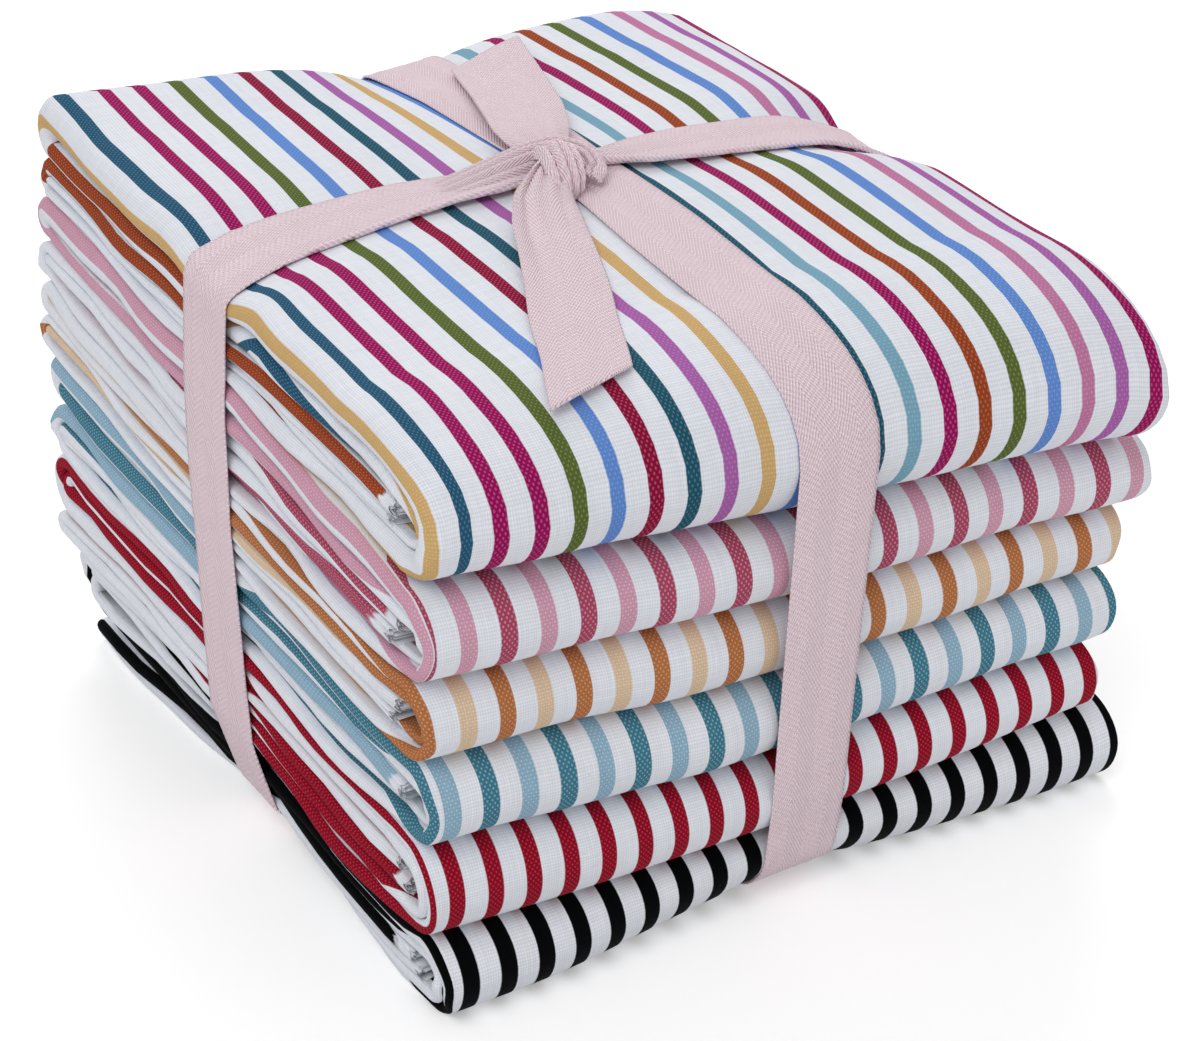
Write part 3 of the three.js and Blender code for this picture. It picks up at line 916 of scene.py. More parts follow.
@dataclass(frozen=True)
class CutPlan:
    """Sizes and folds of one cut.

    Attributes:
        name: The node that it stands for.
        slot: Its material slot.
        left, right, front, rear: Extents.
        front_bow: How far the front edge moves out from left to right.
        turn, roll: Reach of the lower and upper half of the front fold.
        nose: Where the fold's nose lies between bottom and top.
        letter: 1 where the fold end lies on top, -1 where it lies underneath.
        stripes: Its stripes.
        slabs: Its six slabs in the order of the path: middle, first and last run of the outer
            strip, then last, first and middle run of the inner strip.
        seed: Picks its unevenness.
        tuck: How far the tie pulls the lower front edge back.
        lapped: Whether a cut edge lies on its near left corner.
    """

    name: str
    slot: str
    left: float
    right: float
    front: float
    rear: float
    front_bow: float
    turn: float
    roll: float
    nose: float
    letter: int
    stripes: Stripes
    slabs: tuple[Slab, Slab, Slab, Slab, Slab, Slab]
    seed: int
    tuck: float = 0.0
    lapped: bool = False


class Section:
    """The cut's section across its width: eight panels folded in half three times.

    Each point has its place between the left and right turns, how far it bulges out of them, and its
    height. The bulge and the height are in plies, so that every row can have its own thickness.

    Attributes:
        HEIGHTS: Ply that each panel is, in the order of the path.
        PLACES: Places of a panel's points, closest where the tie's groove lies.
        SHOWN: Panel on the outside of the cut.
        SHOWN_CELLS: Its even cells.
        TURN_CELLS: Cells round a turn, for radii above each number of plies.
        PLIES: Plies in a slab.
        LEFT_BULGE, RIGHT_BULGE: How far the widest turn stands out on either side, in plies.
    """

    HEIGHTS = (0, 7, 4, 3, 2, 5, 6, 1)
    PLACES = (0.0, 0.08, 0.16, 0.24, 0.32, 0.397, 0.433, 0.498, 0.562, 0.597, 0.68, 0.76, 0.84, 0.92, 1.0)
    SHOWN = 1
    SHOWN_CELLS = 40
    TURN_CELLS = ((3.0, 14), (1.0, 8), (0.0, 4))
    PLIES = 8.0
    LEFT_BULGE = 3.5
    RIGHT_BULGE = 1.5

    def __init__(self) -> None:
        """Lays out the eight panels and seven turns."""
        rows: list[tuple[float, float, float, float, float]] = []
        for panel, height in enumerate(self.HEIGHTS):
            rightwards = panel % 2 == 1
            shown = panel == self.SHOWN
            places = shares(self.SHOWN_CELLS) if shown else self.PLACES
            side = 1.0 if rightwards else -1.0
            if shown:
                self.panel_start = len(rows)
            for place in places if rightwards else places[::-1]:
                rows.append((place, 0.0, height + 0.5, 0.0, side))
            if shown:
                self.panel_end = len(rows)
            if panel == len(self.HEIGHTS) - 1:
                break
            after = self.HEIGHTS[panel + 1]
            radius = abs(after - height) / 2.0
            middle = (after + height + 1.0) / 2.0
            sense = 1.0 if after > height else -1.0
            turns = next(cells for least, cells in self.TURN_CELLS if radius > least)
            if panel == 0:
                self.fold_middle = len(rows) + turns // 2 - 1
            for step in range(1, turns):
                angle = math.pi * step / turns
                outward = side * math.sin(angle)
                lift = -sense * math.cos(angle)
                flip = side * sense * -1.0
                place = 1.0 if rightwards else 0.0
                rows.append((place, outward * radius, middle + lift * radius, outward * flip, lift * flip))
        self.place, self.bulge, self.height, self.normal_x, self.normal_h = np.array(rows).T.copy()


class Strip(NamedTuple):
    """One face of a strip of cloth, from the cut end inside to the fold end.

    Attributes:
        points: Rows along the strip and columns across it.
        offset: How far each point lies off the strip's middle line.
        up: Z of the middle line's outward direction.
        slabs: Slab number of each row.
        places: Rough place in Y of each row.
    """

    points: Array
    offset: Array
    up: Array
    slabs: Array
    places: Array


class FoldedCut:
    """Builds one folded cut.

    Attributes:
        THICKNESS: Of the cloth.
        FLAT_SIZE: Of the flat cut, in metres.
        RUN_CELLS, OUTER_TURNS: Cells along each run of the outer strip, and round its two turns.
        INNER_CELLS, INNER_TURNS: The same for the inner strip.
        DEEP_ROLL, DEEP_CELLS: From which roll the runs behind the front fold have more cells, and
            how many, on the outer and the inner strip.
        TURNED: Cells round the fold end.
        MOST: How far the slabs may swell.
        LEAST_AIR: Height that they leave free.
        REAR_GAP: Gap inside the rear turn.
        EDGE: How far inside the edges the pressure on the turns is read.
        POCKET, STAGGER: How far behind the front fold the outer strip's cut end lies, and how much
            further the inner one's does.
        SEEN_AT, LAPPED: Points from the left fold's middle to where its stripe is set, and to where a
            lapped edge ends.
        HIDDEN_SPAN, SHOWN_SPAN: Width over which that stripe is drawn aside, where the panel is
            hidden and where it shows.
        SHOWN_FROM, SHOWN_TO: How far behind the front the panel goes from shown to hidden.
        FRAYED: Length of the frayed part of the cut ends.
        TUCK_X, TUCK_WIDTH, TUCK_TOP, TUCK_END: Middle and width of the part that the tie draws back,
            and the heights and distances from the front over which that fades.
        FRONT_STARTS, FRONT_ENDS: Slab numbers over which the rows turn to the front and back.
        SLAB_APART, PLY_APART, STRIP_APART: How far slabs, plies and strips lie apart in the waves.
        DRAWN_OUT: Share of X that the wobble across the cloth follows.
    """

    THICKNESS = 0.19
    FLAT_SIZE = (1.118, 0.914)
    RUN_CELLS = 26
    OUTER_TURNS = (10, 18)
    INNER_CELLS = 15
    INNER_TURNS = (6, 12)
    DEEP_ROLL = 10.0
    DEEP_CELLS = (60, 30)
    TURNED = 8
    MOST = 1.06
    LEAST_AIR = 0.05
    REAR_GAP = 0.3
    EDGE = 8.0
    POCKET = 8.0
    STAGGER = 2.0
    SEEN_AT = 2.2
    LAPPED = 6
    HIDDEN_SPAN = 25.0
    SHOWN_SPAN = 7.0
    SHOWN_FROM = 4.0
    SHOWN_TO = 24.0
    FRAYED = 6.0
    TUCK_X = 2.5
    TUCK_WIDTH = 34.0
    TUCK_TOP = (-2.0, 17.0)
    TUCK_END = (6.0, 50.0)
    FRONT_STARTS = (1.02, 1.25)
    FRONT_ENDS = (1.75, 1.98)
    SLAB_APART = 40.0
    PLY_APART = 90.0
    STRIP_APART = 200.0
    DRAWN_OUT = 0.3

    def __init__(self, plan: CutPlan, bottom: Surface, top: Surface,
                 material: bpy.types.Material) -> None:
        """Keeps what the cut is made from.

        Args:
            plan: Its sizes.
            bottom: Surface that it lies on.
            top: Surface that it reaches.
            material: Its finish.
        """
        self.plan = plan
        self.bottom = bottom
        self.top = top
        self.material = material
        self.section = Section()
        seed = plan.seed
        self.front_waves = Waves(seed + 1, 0.35, 24.0, 80.0)
        self.left_waves = Waves(seed + 20, 0.35, 16.0, 70.0)
        self.right_waves = Waves(seed + 21, 0.5, 16.0, 70.0)
        self.wobble = Waves(seed + 22, 0.22, 30.0, 90.0)
        self.ragged = Waves(seed + 30, 0.55, 7.0, 30.0)
        self.slack = Waves(seed + 31, 0.7, 20.0, 90.0)
        self.deep = plan.roll > self.DEEP_ROLL

    def thick(self, slab: int, y: Value) -> Value:
        """Thickness of a slab where it isn't pressed."""
        return np.interp(y, STATIONS, self.plan.slabs[slab].thick)

    def total(self, y: Value) -> Value:
        """Thickness of all six slabs."""
        return sum(self.thick(slab, y) for slab in range(len(self.plan.slabs)))

    def squeeze(self, x: Value, y: Value) -> Value:
        """How far the slabs are pressed together: 1 is not at all."""
        room = self.top(x, y) - self.bottom(x, y)
        return np.minimum(self.MOST, (room - self.LEAST_AIR) / self.total(y))

    def level(self, run: int, x: Value, y: Value) -> Value:
        """Height of the middle line of a run.

        Args:
            run: 0 for the middle run, 1 for the first and 2 for the last.
            x, y: The place.

        Returns:
            The height.
        """
        bottom = self.bottom(x, y)
        top = self.top(x, y)
        squeeze = self.squeeze(x, y)
        if run == 0:
            under = self.thick(1, y) + self.thick(4, y) + self.thick(5, y)
            rise = squeeze * under + (top - bottom - squeeze * self.total(y)) * 0.5
        elif run == 1:
            rise = squeeze * self.thick(1, y)
        else:
            rise = top - bottom - squeeze * self.thick(2, y)
        return bottom + rise if self.plan.letter > 0 else top - rise

    def front_nose(self, x: Value) -> Value:
        """Foremost place of the middle line in the front fold.

        Args:
            x: The place in X.

        Returns:
            The place in Y.
        """
        plan = self.plan
        across = np.clip((x - plan.left) / (plan.right - plan.left), 0.0, 1.0)
        edge = plan.front - plan.front_bow * across**1.5 + self.front_waves(x, 0.0 * x)
        outer = (self.thick(1, plan.front) + self.thick(2, plan.front)) / 2.0
        return edge + outer * self.squeeze(x, plan.front + self.EDGE)

    def rear_reach(self, x: Value, slabs: tuple[int, int]) -> Value:
        """Mean thickness of two slabs at the rear, as they are pressed there."""
        rear = self.plan.rear
        both = (self.thick(slabs[0], rear) + self.thick(slabs[1], rear)) / 2.0
        return both * self.squeeze(x, rear)

    def rear_centre(self, x: Value) -> Value:
        """Where the rear turn starts."""
        return self.plan.rear - self.rear_reach(x, (0, 1)) - self.rear_reach(x, (4, 5)) - self.REAR_GAP

    def run(self, number: int, start: Array, end: Array, share: Array, x: Array) -> Course:
        """A straight run of the middle line.

        Args:
            number: The run, as in level.
            start, end: Where it starts and ends in Y.
            share: How far along it each row is.
            x: The places in X.

        Returns:
            Its course.
        """
        y = mix(start, end, share[:, None])
        z = self.level(number, x, y)
        direction = np.sign(np.mean(end - start))
        return y, z, np.zeros_like(z), np.full_like(z, self.plan.letter * direction)

    def rear_turn(self, share: Array, x: Array) -> Course:
        """The turn at the rear, from the middle run to the first.

        Args:
            share: How far round it each row is.
            x: The places in X.

        Returns:
            Its course.
        """
        letter = self.plan.letter
        centre = self.rear_centre(x)
        reach = self.rear_reach(x, (4, 5)) + self.REAR_GAP
        first = self.level(1, x, centre)
        gap = np.abs(self.level(0, x, centre) - first)
        upper = self.thick(4, centre) / (self.thick(4, centre) + self.thick(5, centre))
        angle = (math.pi / 2.0 - math.pi * share)[:, None] + 0.0 * x
        rise = gap * np.where(angle > 0.0, 1.0 - upper, upper)
        y = centre + reach * np.cos(angle)
        z = first + letter * (gap * upper + rise * np.sin(angle))
        out_y, out_z = np.cos(angle) * rise, np.sin(angle) * reach
        size = np.hypot(out_y, out_z)
        return y, z, out_y / size, letter * out_z / size

    def front_turn(self, share: Array, x: Array) -> Course:
        """The front fold, from the first run to the last.

        Args:
            share: How far round it each row is.
            x: The places in X.

        Returns:
            Its course.
        """
        plan = self.plan
        nose = self.front_nose(x)
        low = self.level(1, x, nose + plan.turn)
        high = self.level(2, x, nose + plan.roll)
        middle = mix(low, high, plan.nose)
        angle = (math.pi * (share - 0.5))[:, None] + 0.0 * x
        on_low = angle < 0.0
        reach = np.where(on_low, plan.turn, plan.roll)
        rise = np.abs(np.where(on_low, middle - low, high - middle))
        y = nose + reach * (1.0 - np.cos(angle))
        z = middle + plan.letter * rise * np.sin(angle)
        out_y = -np.cos(angle) * rise
        out_z = plan.letter * np.sin(angle) * reach
        size = np.hypot(out_y, out_z)
        return y, z, out_y / size, out_z / size

    def read(self, table: str, stations: tuple[float, ...], slabs: Array, y: Array) -> Array:
        """Reads one of the slabs' tables.

        Args:
            table: Name of the slab's field.
            stations: Places in Y of the table's values.
            slabs: Slab number of each row, with fractions where one slab turns into the next.
            y: Place in Y of each row.

        Returns:
            One value for each row.
        """
        values = np.array([np.interp(y, stations, getattr(slab, table)) for slab in self.plan.slabs])
        low = np.clip(np.floor(slabs).astype(int), 0, len(values) - 2)
        row = np.arange(len(slabs))
        return mix(values[low, row], values[low + 1, row], slabs - low)

    def row_plan(self, cells: Cells, backwards: bool) -> tuple[Array, Array]:
        """Slab number and rough place in Y of each row of a strip.

        Args:
            cells: Its cells.
            backwards: Whether it is the inner strip, whose slabs count down from 5.

        Returns:
            The slab numbers and the places.
        """
        run_cells, rear_cells, front_cells, last_cells = cells
        plan = self.plan
        front, rear = plan.front, plan.rear
        # First and last slab, first and last place, cells, and whether the end rows belong to it.
        blocks = (
            (0.0, 0.0, front + self.POCKET, rear, run_cells, True),
            (0.0, 1.0, rear, rear, rear_cells, False),
            (1.0, 1.0, rear, front + plan.turn, run_cells, True),
            (1.0, 2.0, front, front, front_cells, False),
            (2.0, 2.0, front + plan.roll, rear, last_cells, True),
        )
        slabs, places = [], []
        for slab_start, slab_end, start, end, count, whole in blocks:
            share = shares(count) if whole else shares(count)[1:-1]
            slabs.append(mix(slab_start, slab_end, smooth(share, 0.0, 1.0)))
            reach = 0.0 * share
            if slab_end - slab_start > 0.0 and start < 0.0:
                reach = np.where(share < 0.5, plan.turn, plan.roll) * (1.0 - np.sin(math.pi * share))
            places.append(mix(start, end, share) + reach)
        numbers = np.concatenate(slabs)
        last = float(len(plan.slabs) - 1)
        return (last - numbers if backwards else numbers), np.concatenate(places)

    def sideways(self, slabs: Array, places: Array, half: float) -> Array:
        """Places in X of a strip's points.

        Args:
            slabs, places: Slab number and rough place in Y of each row.
            half: How far the face lies off the cloth's middle.

        Returns:
            The places, as rows and columns.
        """
        plan, section = self.plan, self.section
        ply = self.read("thick", STATIONS, slabs, places) / section.PLIES
        inner = np.clip(places, plan.front + self.EDGE, plan.rear - self.EDGE)
        pressed = ply * self.squeeze(plan.left + self.EDGE, inner)
        row = self.SLAB_APART * slabs
        inset = self.read("set_in", STATIONS, slabs, places) + self.left_waves(row, places)
        left = plan.left + inset + section.LEFT_BULGE * pressed + self.THICKNESS / 2.0
        right = plan.right - self.right_waves(row, places) - section.RIGHT_BULGE * pressed
        x = mix(left[:, None], right[:, None], section.place) + section.bulge * pressed[:, None]
        x = x + section.normal_x * half
        return x + self.wobble(x * self.DRAWN_OUT, places[:, None] + 0.0 * x)

    def strip(self, cells: Cells, backwards: bool, half: float) -> Strip:
        """One face of the outer or the inner strip.

        Args:
            cells: Its cells.
            backwards: Whether it is the inner strip.
            half: How far the face lies off the cloth's middle.

        Returns:
            The face.
        """
        plan, section = self.plan, self.section
        slabs, places = self.row_plan(cells, backwards)
        ply = self.read("thick", STATIONS, slabs, places) / section.PLIES
        x = self.sideways(slabs, places, half)

        run_cells, rear_cells, front_cells, last_cells = cells
        counts = (run_cells + 1, rear_cells - 1, run_cells + 1, front_cells - 1, last_cells + 1)
        starts = np.concatenate([[0], np.cumsum(counts)])
        middle, rear, first, front, last = (x[starts[index]:starts[index + 1]] for index in range(5))
        frayed = self.ragged(x[:1], self.PLY_APART * section.height + self.STRIP_APART * backwards)
        cut_end = self.front_nose(middle) + self.POCKET + self.STAGGER * backwards + frayed
        fold_end = plan.rear - self.rear_reach(last, (2, 3)) + self.slack(last, 0.0 * last)
        fold_start = self.front_nose(first) + plan.turn
        blocks = (
            self.run(0, cut_end, self.rear_centre(middle), shares(run_cells), middle),
            self.rear_turn(shares(rear_cells)[1:-1], rear),
            self.run(1, self.rear_centre(first), fold_start, shares(run_cells), first),
            self.front_turn(shares(front_cells)[1:-1], front),
            self.run(2, self.front_nose(last) + plan.roll, fold_end, shares(last_cells), last),
        )
        y, z, out_y, out_z = (np.concatenate(column, axis=0) for column in zip(*blocks))
        offset = section.height * ply[:, None] * self.squeeze(x, y) + section.normal_h * half
        sign = -1.0 if backwards else 1.0
        points = np.stack([x, y + sign * out_y * offset, z + sign * out_z * offset], axis=-1)
        return Strip(points, offset, out_z, slabs, places)

    def fold_end(self, outer: Strip, inner: Strip) -> Array:
        """The rows round the fold end, where the outer strip turns into the inner one.

        Args:
            outer, inner: The two strips.

        Returns:
            The points, as rows and columns.
        """
        first, second = outer.points[-1], inner.points[-1]
        first_up, first_offset = outer.up[-1], outer.offset[-1]
        turn = shares(self.TURNED)[1:-1, None]
        angle = math.pi * turn
        offset = mix(first_offset, inner.offset[-1], smooth(turn, 0.0, 1.0))
        middle = first[:, 2] - first_up * first_offset
        x = mix(first[:, 0], second[:, 0], turn)
        y = first[:, 1] + np.sin(angle) * offset
        z = middle + first_up * np.cos(angle) * offset
        return np.stack([x, y, z], axis=-1)

    def tucked(self, points: Array) -> Array:
        """Draws the lower front edge back where the tie goes under it.

        Args:
            points: The points of one face.

        Returns:
            The points, drawn back.
        """
        x, y, z = points[..., 0], points[..., 1], points[..., 2]
        pull = self.plan.tuck * bell(x - self.TUCK_X, self.TUCK_WIDTH) * (1.0 - smooth(z, *self.TUCK_TOP))
        moved = y + pull * (1.0 - smooth(y - self.plan.front, *self.TUCK_END))
        return np.stack([x, moved, z], axis=-1)

    def grids(self) -> tuple[Array, Array, Array]:
        """The cloth's two faces.

        Returns:
            The points of the front and of the back, and the flat place of each point in metres.
        """
        plan = self.plan
        deep_outer, deep_inner = self.DEEP_CELLS if self.deep else (self.RUN_CELLS, self.INNER_CELLS)
        outer_cells = (self.RUN_CELLS, *self.OUTER_TURNS, deep_outer)
        inner_cells = (self.INNER_CELLS, *self.INNER_TURNS, deep_inner)
        faces = []
        for half in (self.THICKNESS / 2.0, -self.THICKNESS / 2.0):
            outer = self.strip(outer_cells, False, half)
            inner = self.strip(inner_cells, True, half)
            rows = np.concatenate([outer.points, self.fold_end(outer, inner), inner.points[::-1]], axis=0)
            faces.append(self.tucked(rows))
        turned = np.linspace(2.0, 3.0, self.TURNED + 1)[1:-1]
        slabs = np.concatenate([outer.slabs, turned, inner.slabs[::-1]])
        places = np.concatenate([outer.places, np.full(len(turned), plan.rear), inner.places[::-1]])
        front, back = faces
        middle = (front + back) / 2.0
        steps = np.linalg.norm(np.diff(middle[:, middle.shape[1] // 2], axis=0), axis=1)
        along = np.concatenate([[0.0], np.cumsum(steps)])
        across = self.across(middle[..., 0], slabs, places)
        flat = np.stack([across, np.repeat(along[:, None], across.shape[1], axis=1)], axis=-1) * MM
        return front, back, flat

    def across(self, x: Array, slabs: Array, places: Array) -> Array:
        """Place of each point across the flat cloth.

        It is the place in X on the panel that shows, and follows the cloth round the turns from
        there. Near the left turn it is drawn aside, so that the wanted stripe lies on the turn.

        Args:
            x: Place in X of each point.
            slabs, places: Slab number and rough place in Y of each row.

        Returns:
            The place of each point.
        """
        plan, section = self.plan, self.section
        ply = self.read("thick", STATIONS, slabs, places) / section.PLIES
        steps = np.hypot(np.diff(x, axis=1), np.diff(section.height)[None, :] * ply[:, None])
        length = np.concatenate([np.zeros((len(x), 1)), np.cumsum(steps, axis=1)], axis=1)
        start = section.panel_start
        flat = length - length[:, start:start + 1] + x[:, start:start + 1]
        stripes = plan.stripes
        band = self.read("band", BAND_STATIONS, slabs, places)
        wanted = stripes.start + (band + stripes.width / 2.0) * stripes.pitch
        seen = section.fold_middle + self.SEEN_AT * self.facing(slabs)
        low = np.floor(seen).astype(int)
        row = np.arange(len(slabs))
        drift = wanted - mix(flat[row, low], flat[row, low + 1], seen - low)
        turned = (slabs >= 1.0) & (slabs <= 2.0)
        near = 1.0 - smooth(places, plan.front + self.SHOWN_FROM, plan.front + self.SHOWN_TO)
        rows_shown = np.where(turned, near, 0.0)
        if self.deep:
            rows_shown = np.where(slabs == 2.0, 1.0, rows_shown)
        span = mix(self.HIDDEN_SPAN, self.SHOWN_SPAN, rows_shown)
        inward = (x - x[:, start:start + 1]) / span[:, None]
        column = np.arange(x.shape[1])
        fade = np.where(column < start, 1.0, 1.0 - smooth(inward, 0.0, 1.0))
        fade = np.where(column >= section.panel_end, 0.0, fade)
        if plan.lapped:
            edge = np.where(column < section.fold_middle + self.LAPPED, 1.0, 0.0)
            fade = mix(fade, edge[None, :], rows_shown[:, None])
        share = np.clip((x + HALF_WIDTH) / (2.0 * HALF_WIDTH), 0.0, 1.0)
        return flat + drift[:, None] * fade + stripes.bow * 4.0 * share * (1.0 - share)

    def facing(self, slabs: Array) -> Array:
        """Which way the outside panel of each row faces.

        Args:
            slabs: Slab number of each row.

        Returns:
            1 where the panel is on the upper or front side, and -1 where it is below.
        """
        numbers = np.arange(len(self.plan.slabs))
        sides = self.plan.letter * np.where(numbers % 2 == 0, 1.0, -1.0)
        plain = np.interp(slabs, numbers, sides)
        front = smooth(slabs, *self.FRONT_STARTS) * (1.0 - smooth(slabs, *self.FRONT_ENDS))
        return mix(plain, 1.0, front)

    def build(self, origin: Vector, rests_on: list[str]) -> bpy.types.Object:
        """Args:
            origin: Where the stack's own axes start in the part.
            rests_on: Names of the pieces that it lies on; not used.

        Returns:
            The piece.
        """
        front, back, flat = self.grids()
        points, quads = MeshBuilder.closed_sheet(front, back)
        flat_rows = flat.reshape(-1, 2)
        piece = MeshBuilder.build(
            "cut_" + self.plan.name.removeprefix("cloth_"), points, quads,
            np.concatenate([flat_rows, flat_rows]), self.material, origin,
        )
        along = flat_rows[:, 1] / MM
        fray = 1.0 - smooth(np.minimum(along, along.max() - along), 0.0, self.FRAYED)
        layer = piece.data.attributes.new(MeshBuilder.FRAY, "FLOAT", "POINT")
        layer.data.foreach_set("value", np.concatenate([fray, fray]).astype(np.float32))
        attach(piece, BODY)
        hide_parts(self.plan.name)
        return piece


# ---- The tie ----


class Outline:
    """A tight closed line round a cloud of flat points, read by its direction from a middle."""

    def __init__(self, points: Array, middle: tuple[float, float]) -> None:
        """Finds the convex outline.

        Args:
            points: Rows of two numbers.
            middle: A place inside it.
        """
        self.middle = np.array(middle)
        corners = self.hull(points) - self.middle
        angles = np.arctan2(corners[:, 1], corners[:, 0])
        order = np.argsort(angles)
        self.angles = angles[order]
        self.corners = corners[order]

    @staticmethod
    def hull(points: Array) -> Array:
        """Corners of the convex hull.

        Args:
            points: Rows of two numbers.

        Returns:
            The corners in order.
        """
        rows = np.unique(np.round(points, 4), axis=0)
        return np.array(Outline.chain(rows) + Outline.chain(rows[::-1]))

    @staticmethod
    def chain(rows: Array) -> list[Array]:
        """One side of the hull, without its last corner.

        Args:
            rows: Points sorted along the hull.

        Returns:
            The corners.
        """
        kept: list[Array] = []
        for row in rows:
            while len(kept) > 1:
                one, two = kept[-2], kept[-1]
                if (two[0] - one[0]) * (row[1] - one[1]) > (two[1] - one[1]) * (row[0] - one[0]):
                    break
                kept.pop()
            kept.append(row)
        return kept[:-1]

    def reach(self, directions: Array) -> Array:
        """Distance from the middle to the outline.

        Args:
            directions: Directions in radians.

        Returns:
            The distance in each direction.
        """
        wrapped = (directions + math.pi) % (2.0 * math.pi) - math.pi
        after = np.searchsorted(self.angles, wrapped) % len(self.angles)
        first = self.corners[after - 1]
        second = self.corners[after]
        ray = np.stack([np.cos(wrapped), np.sin(wrapped)], axis=-1)
        edge = second - first
        top = first[:, 0] * edge[:, 1] - first[:, 1] * edge[:, 0]
        return top / (ray[:, 0] * edge[:, 1] - ray[:, 1] * edge[:, 0])


@dataclass(frozen=True)
class RunPlan:
    """Sizes of one run of the tape round the stack.

    Attributes:
        name: Name of the piece.
        node: The node that it stands for.
        axis: 0 where it runs along X and 1 where it runs along Y.
        under: Its place across on the underside.
        top_line: Its place across on top, against its place along.
        fold: How much of its near edge is folded over, against its place along, on top only.
        gather: How much narrower it is drawn, against its place along, on top only.
        middle: A place inside the loop, along and up.
    """

    name: str
    node: str
    axis: int
    under: float
    top_line: Line
    fold: Line
    gather: Line
    middle: tuple[float, float]


def read_line(table: Line, place: Array) -> Array:
    """Reads a short table of places and values."""
    return np.interp(place, [row[0] for row in table], [row[1] for row in table])


@dataclass(frozen=True)
class Tape:
    """Sizes of the twill tape, and its clearance from what it lies on."""

    width: float = 15.2
    thickness: float = 0.45
    clearance: float = 0.12


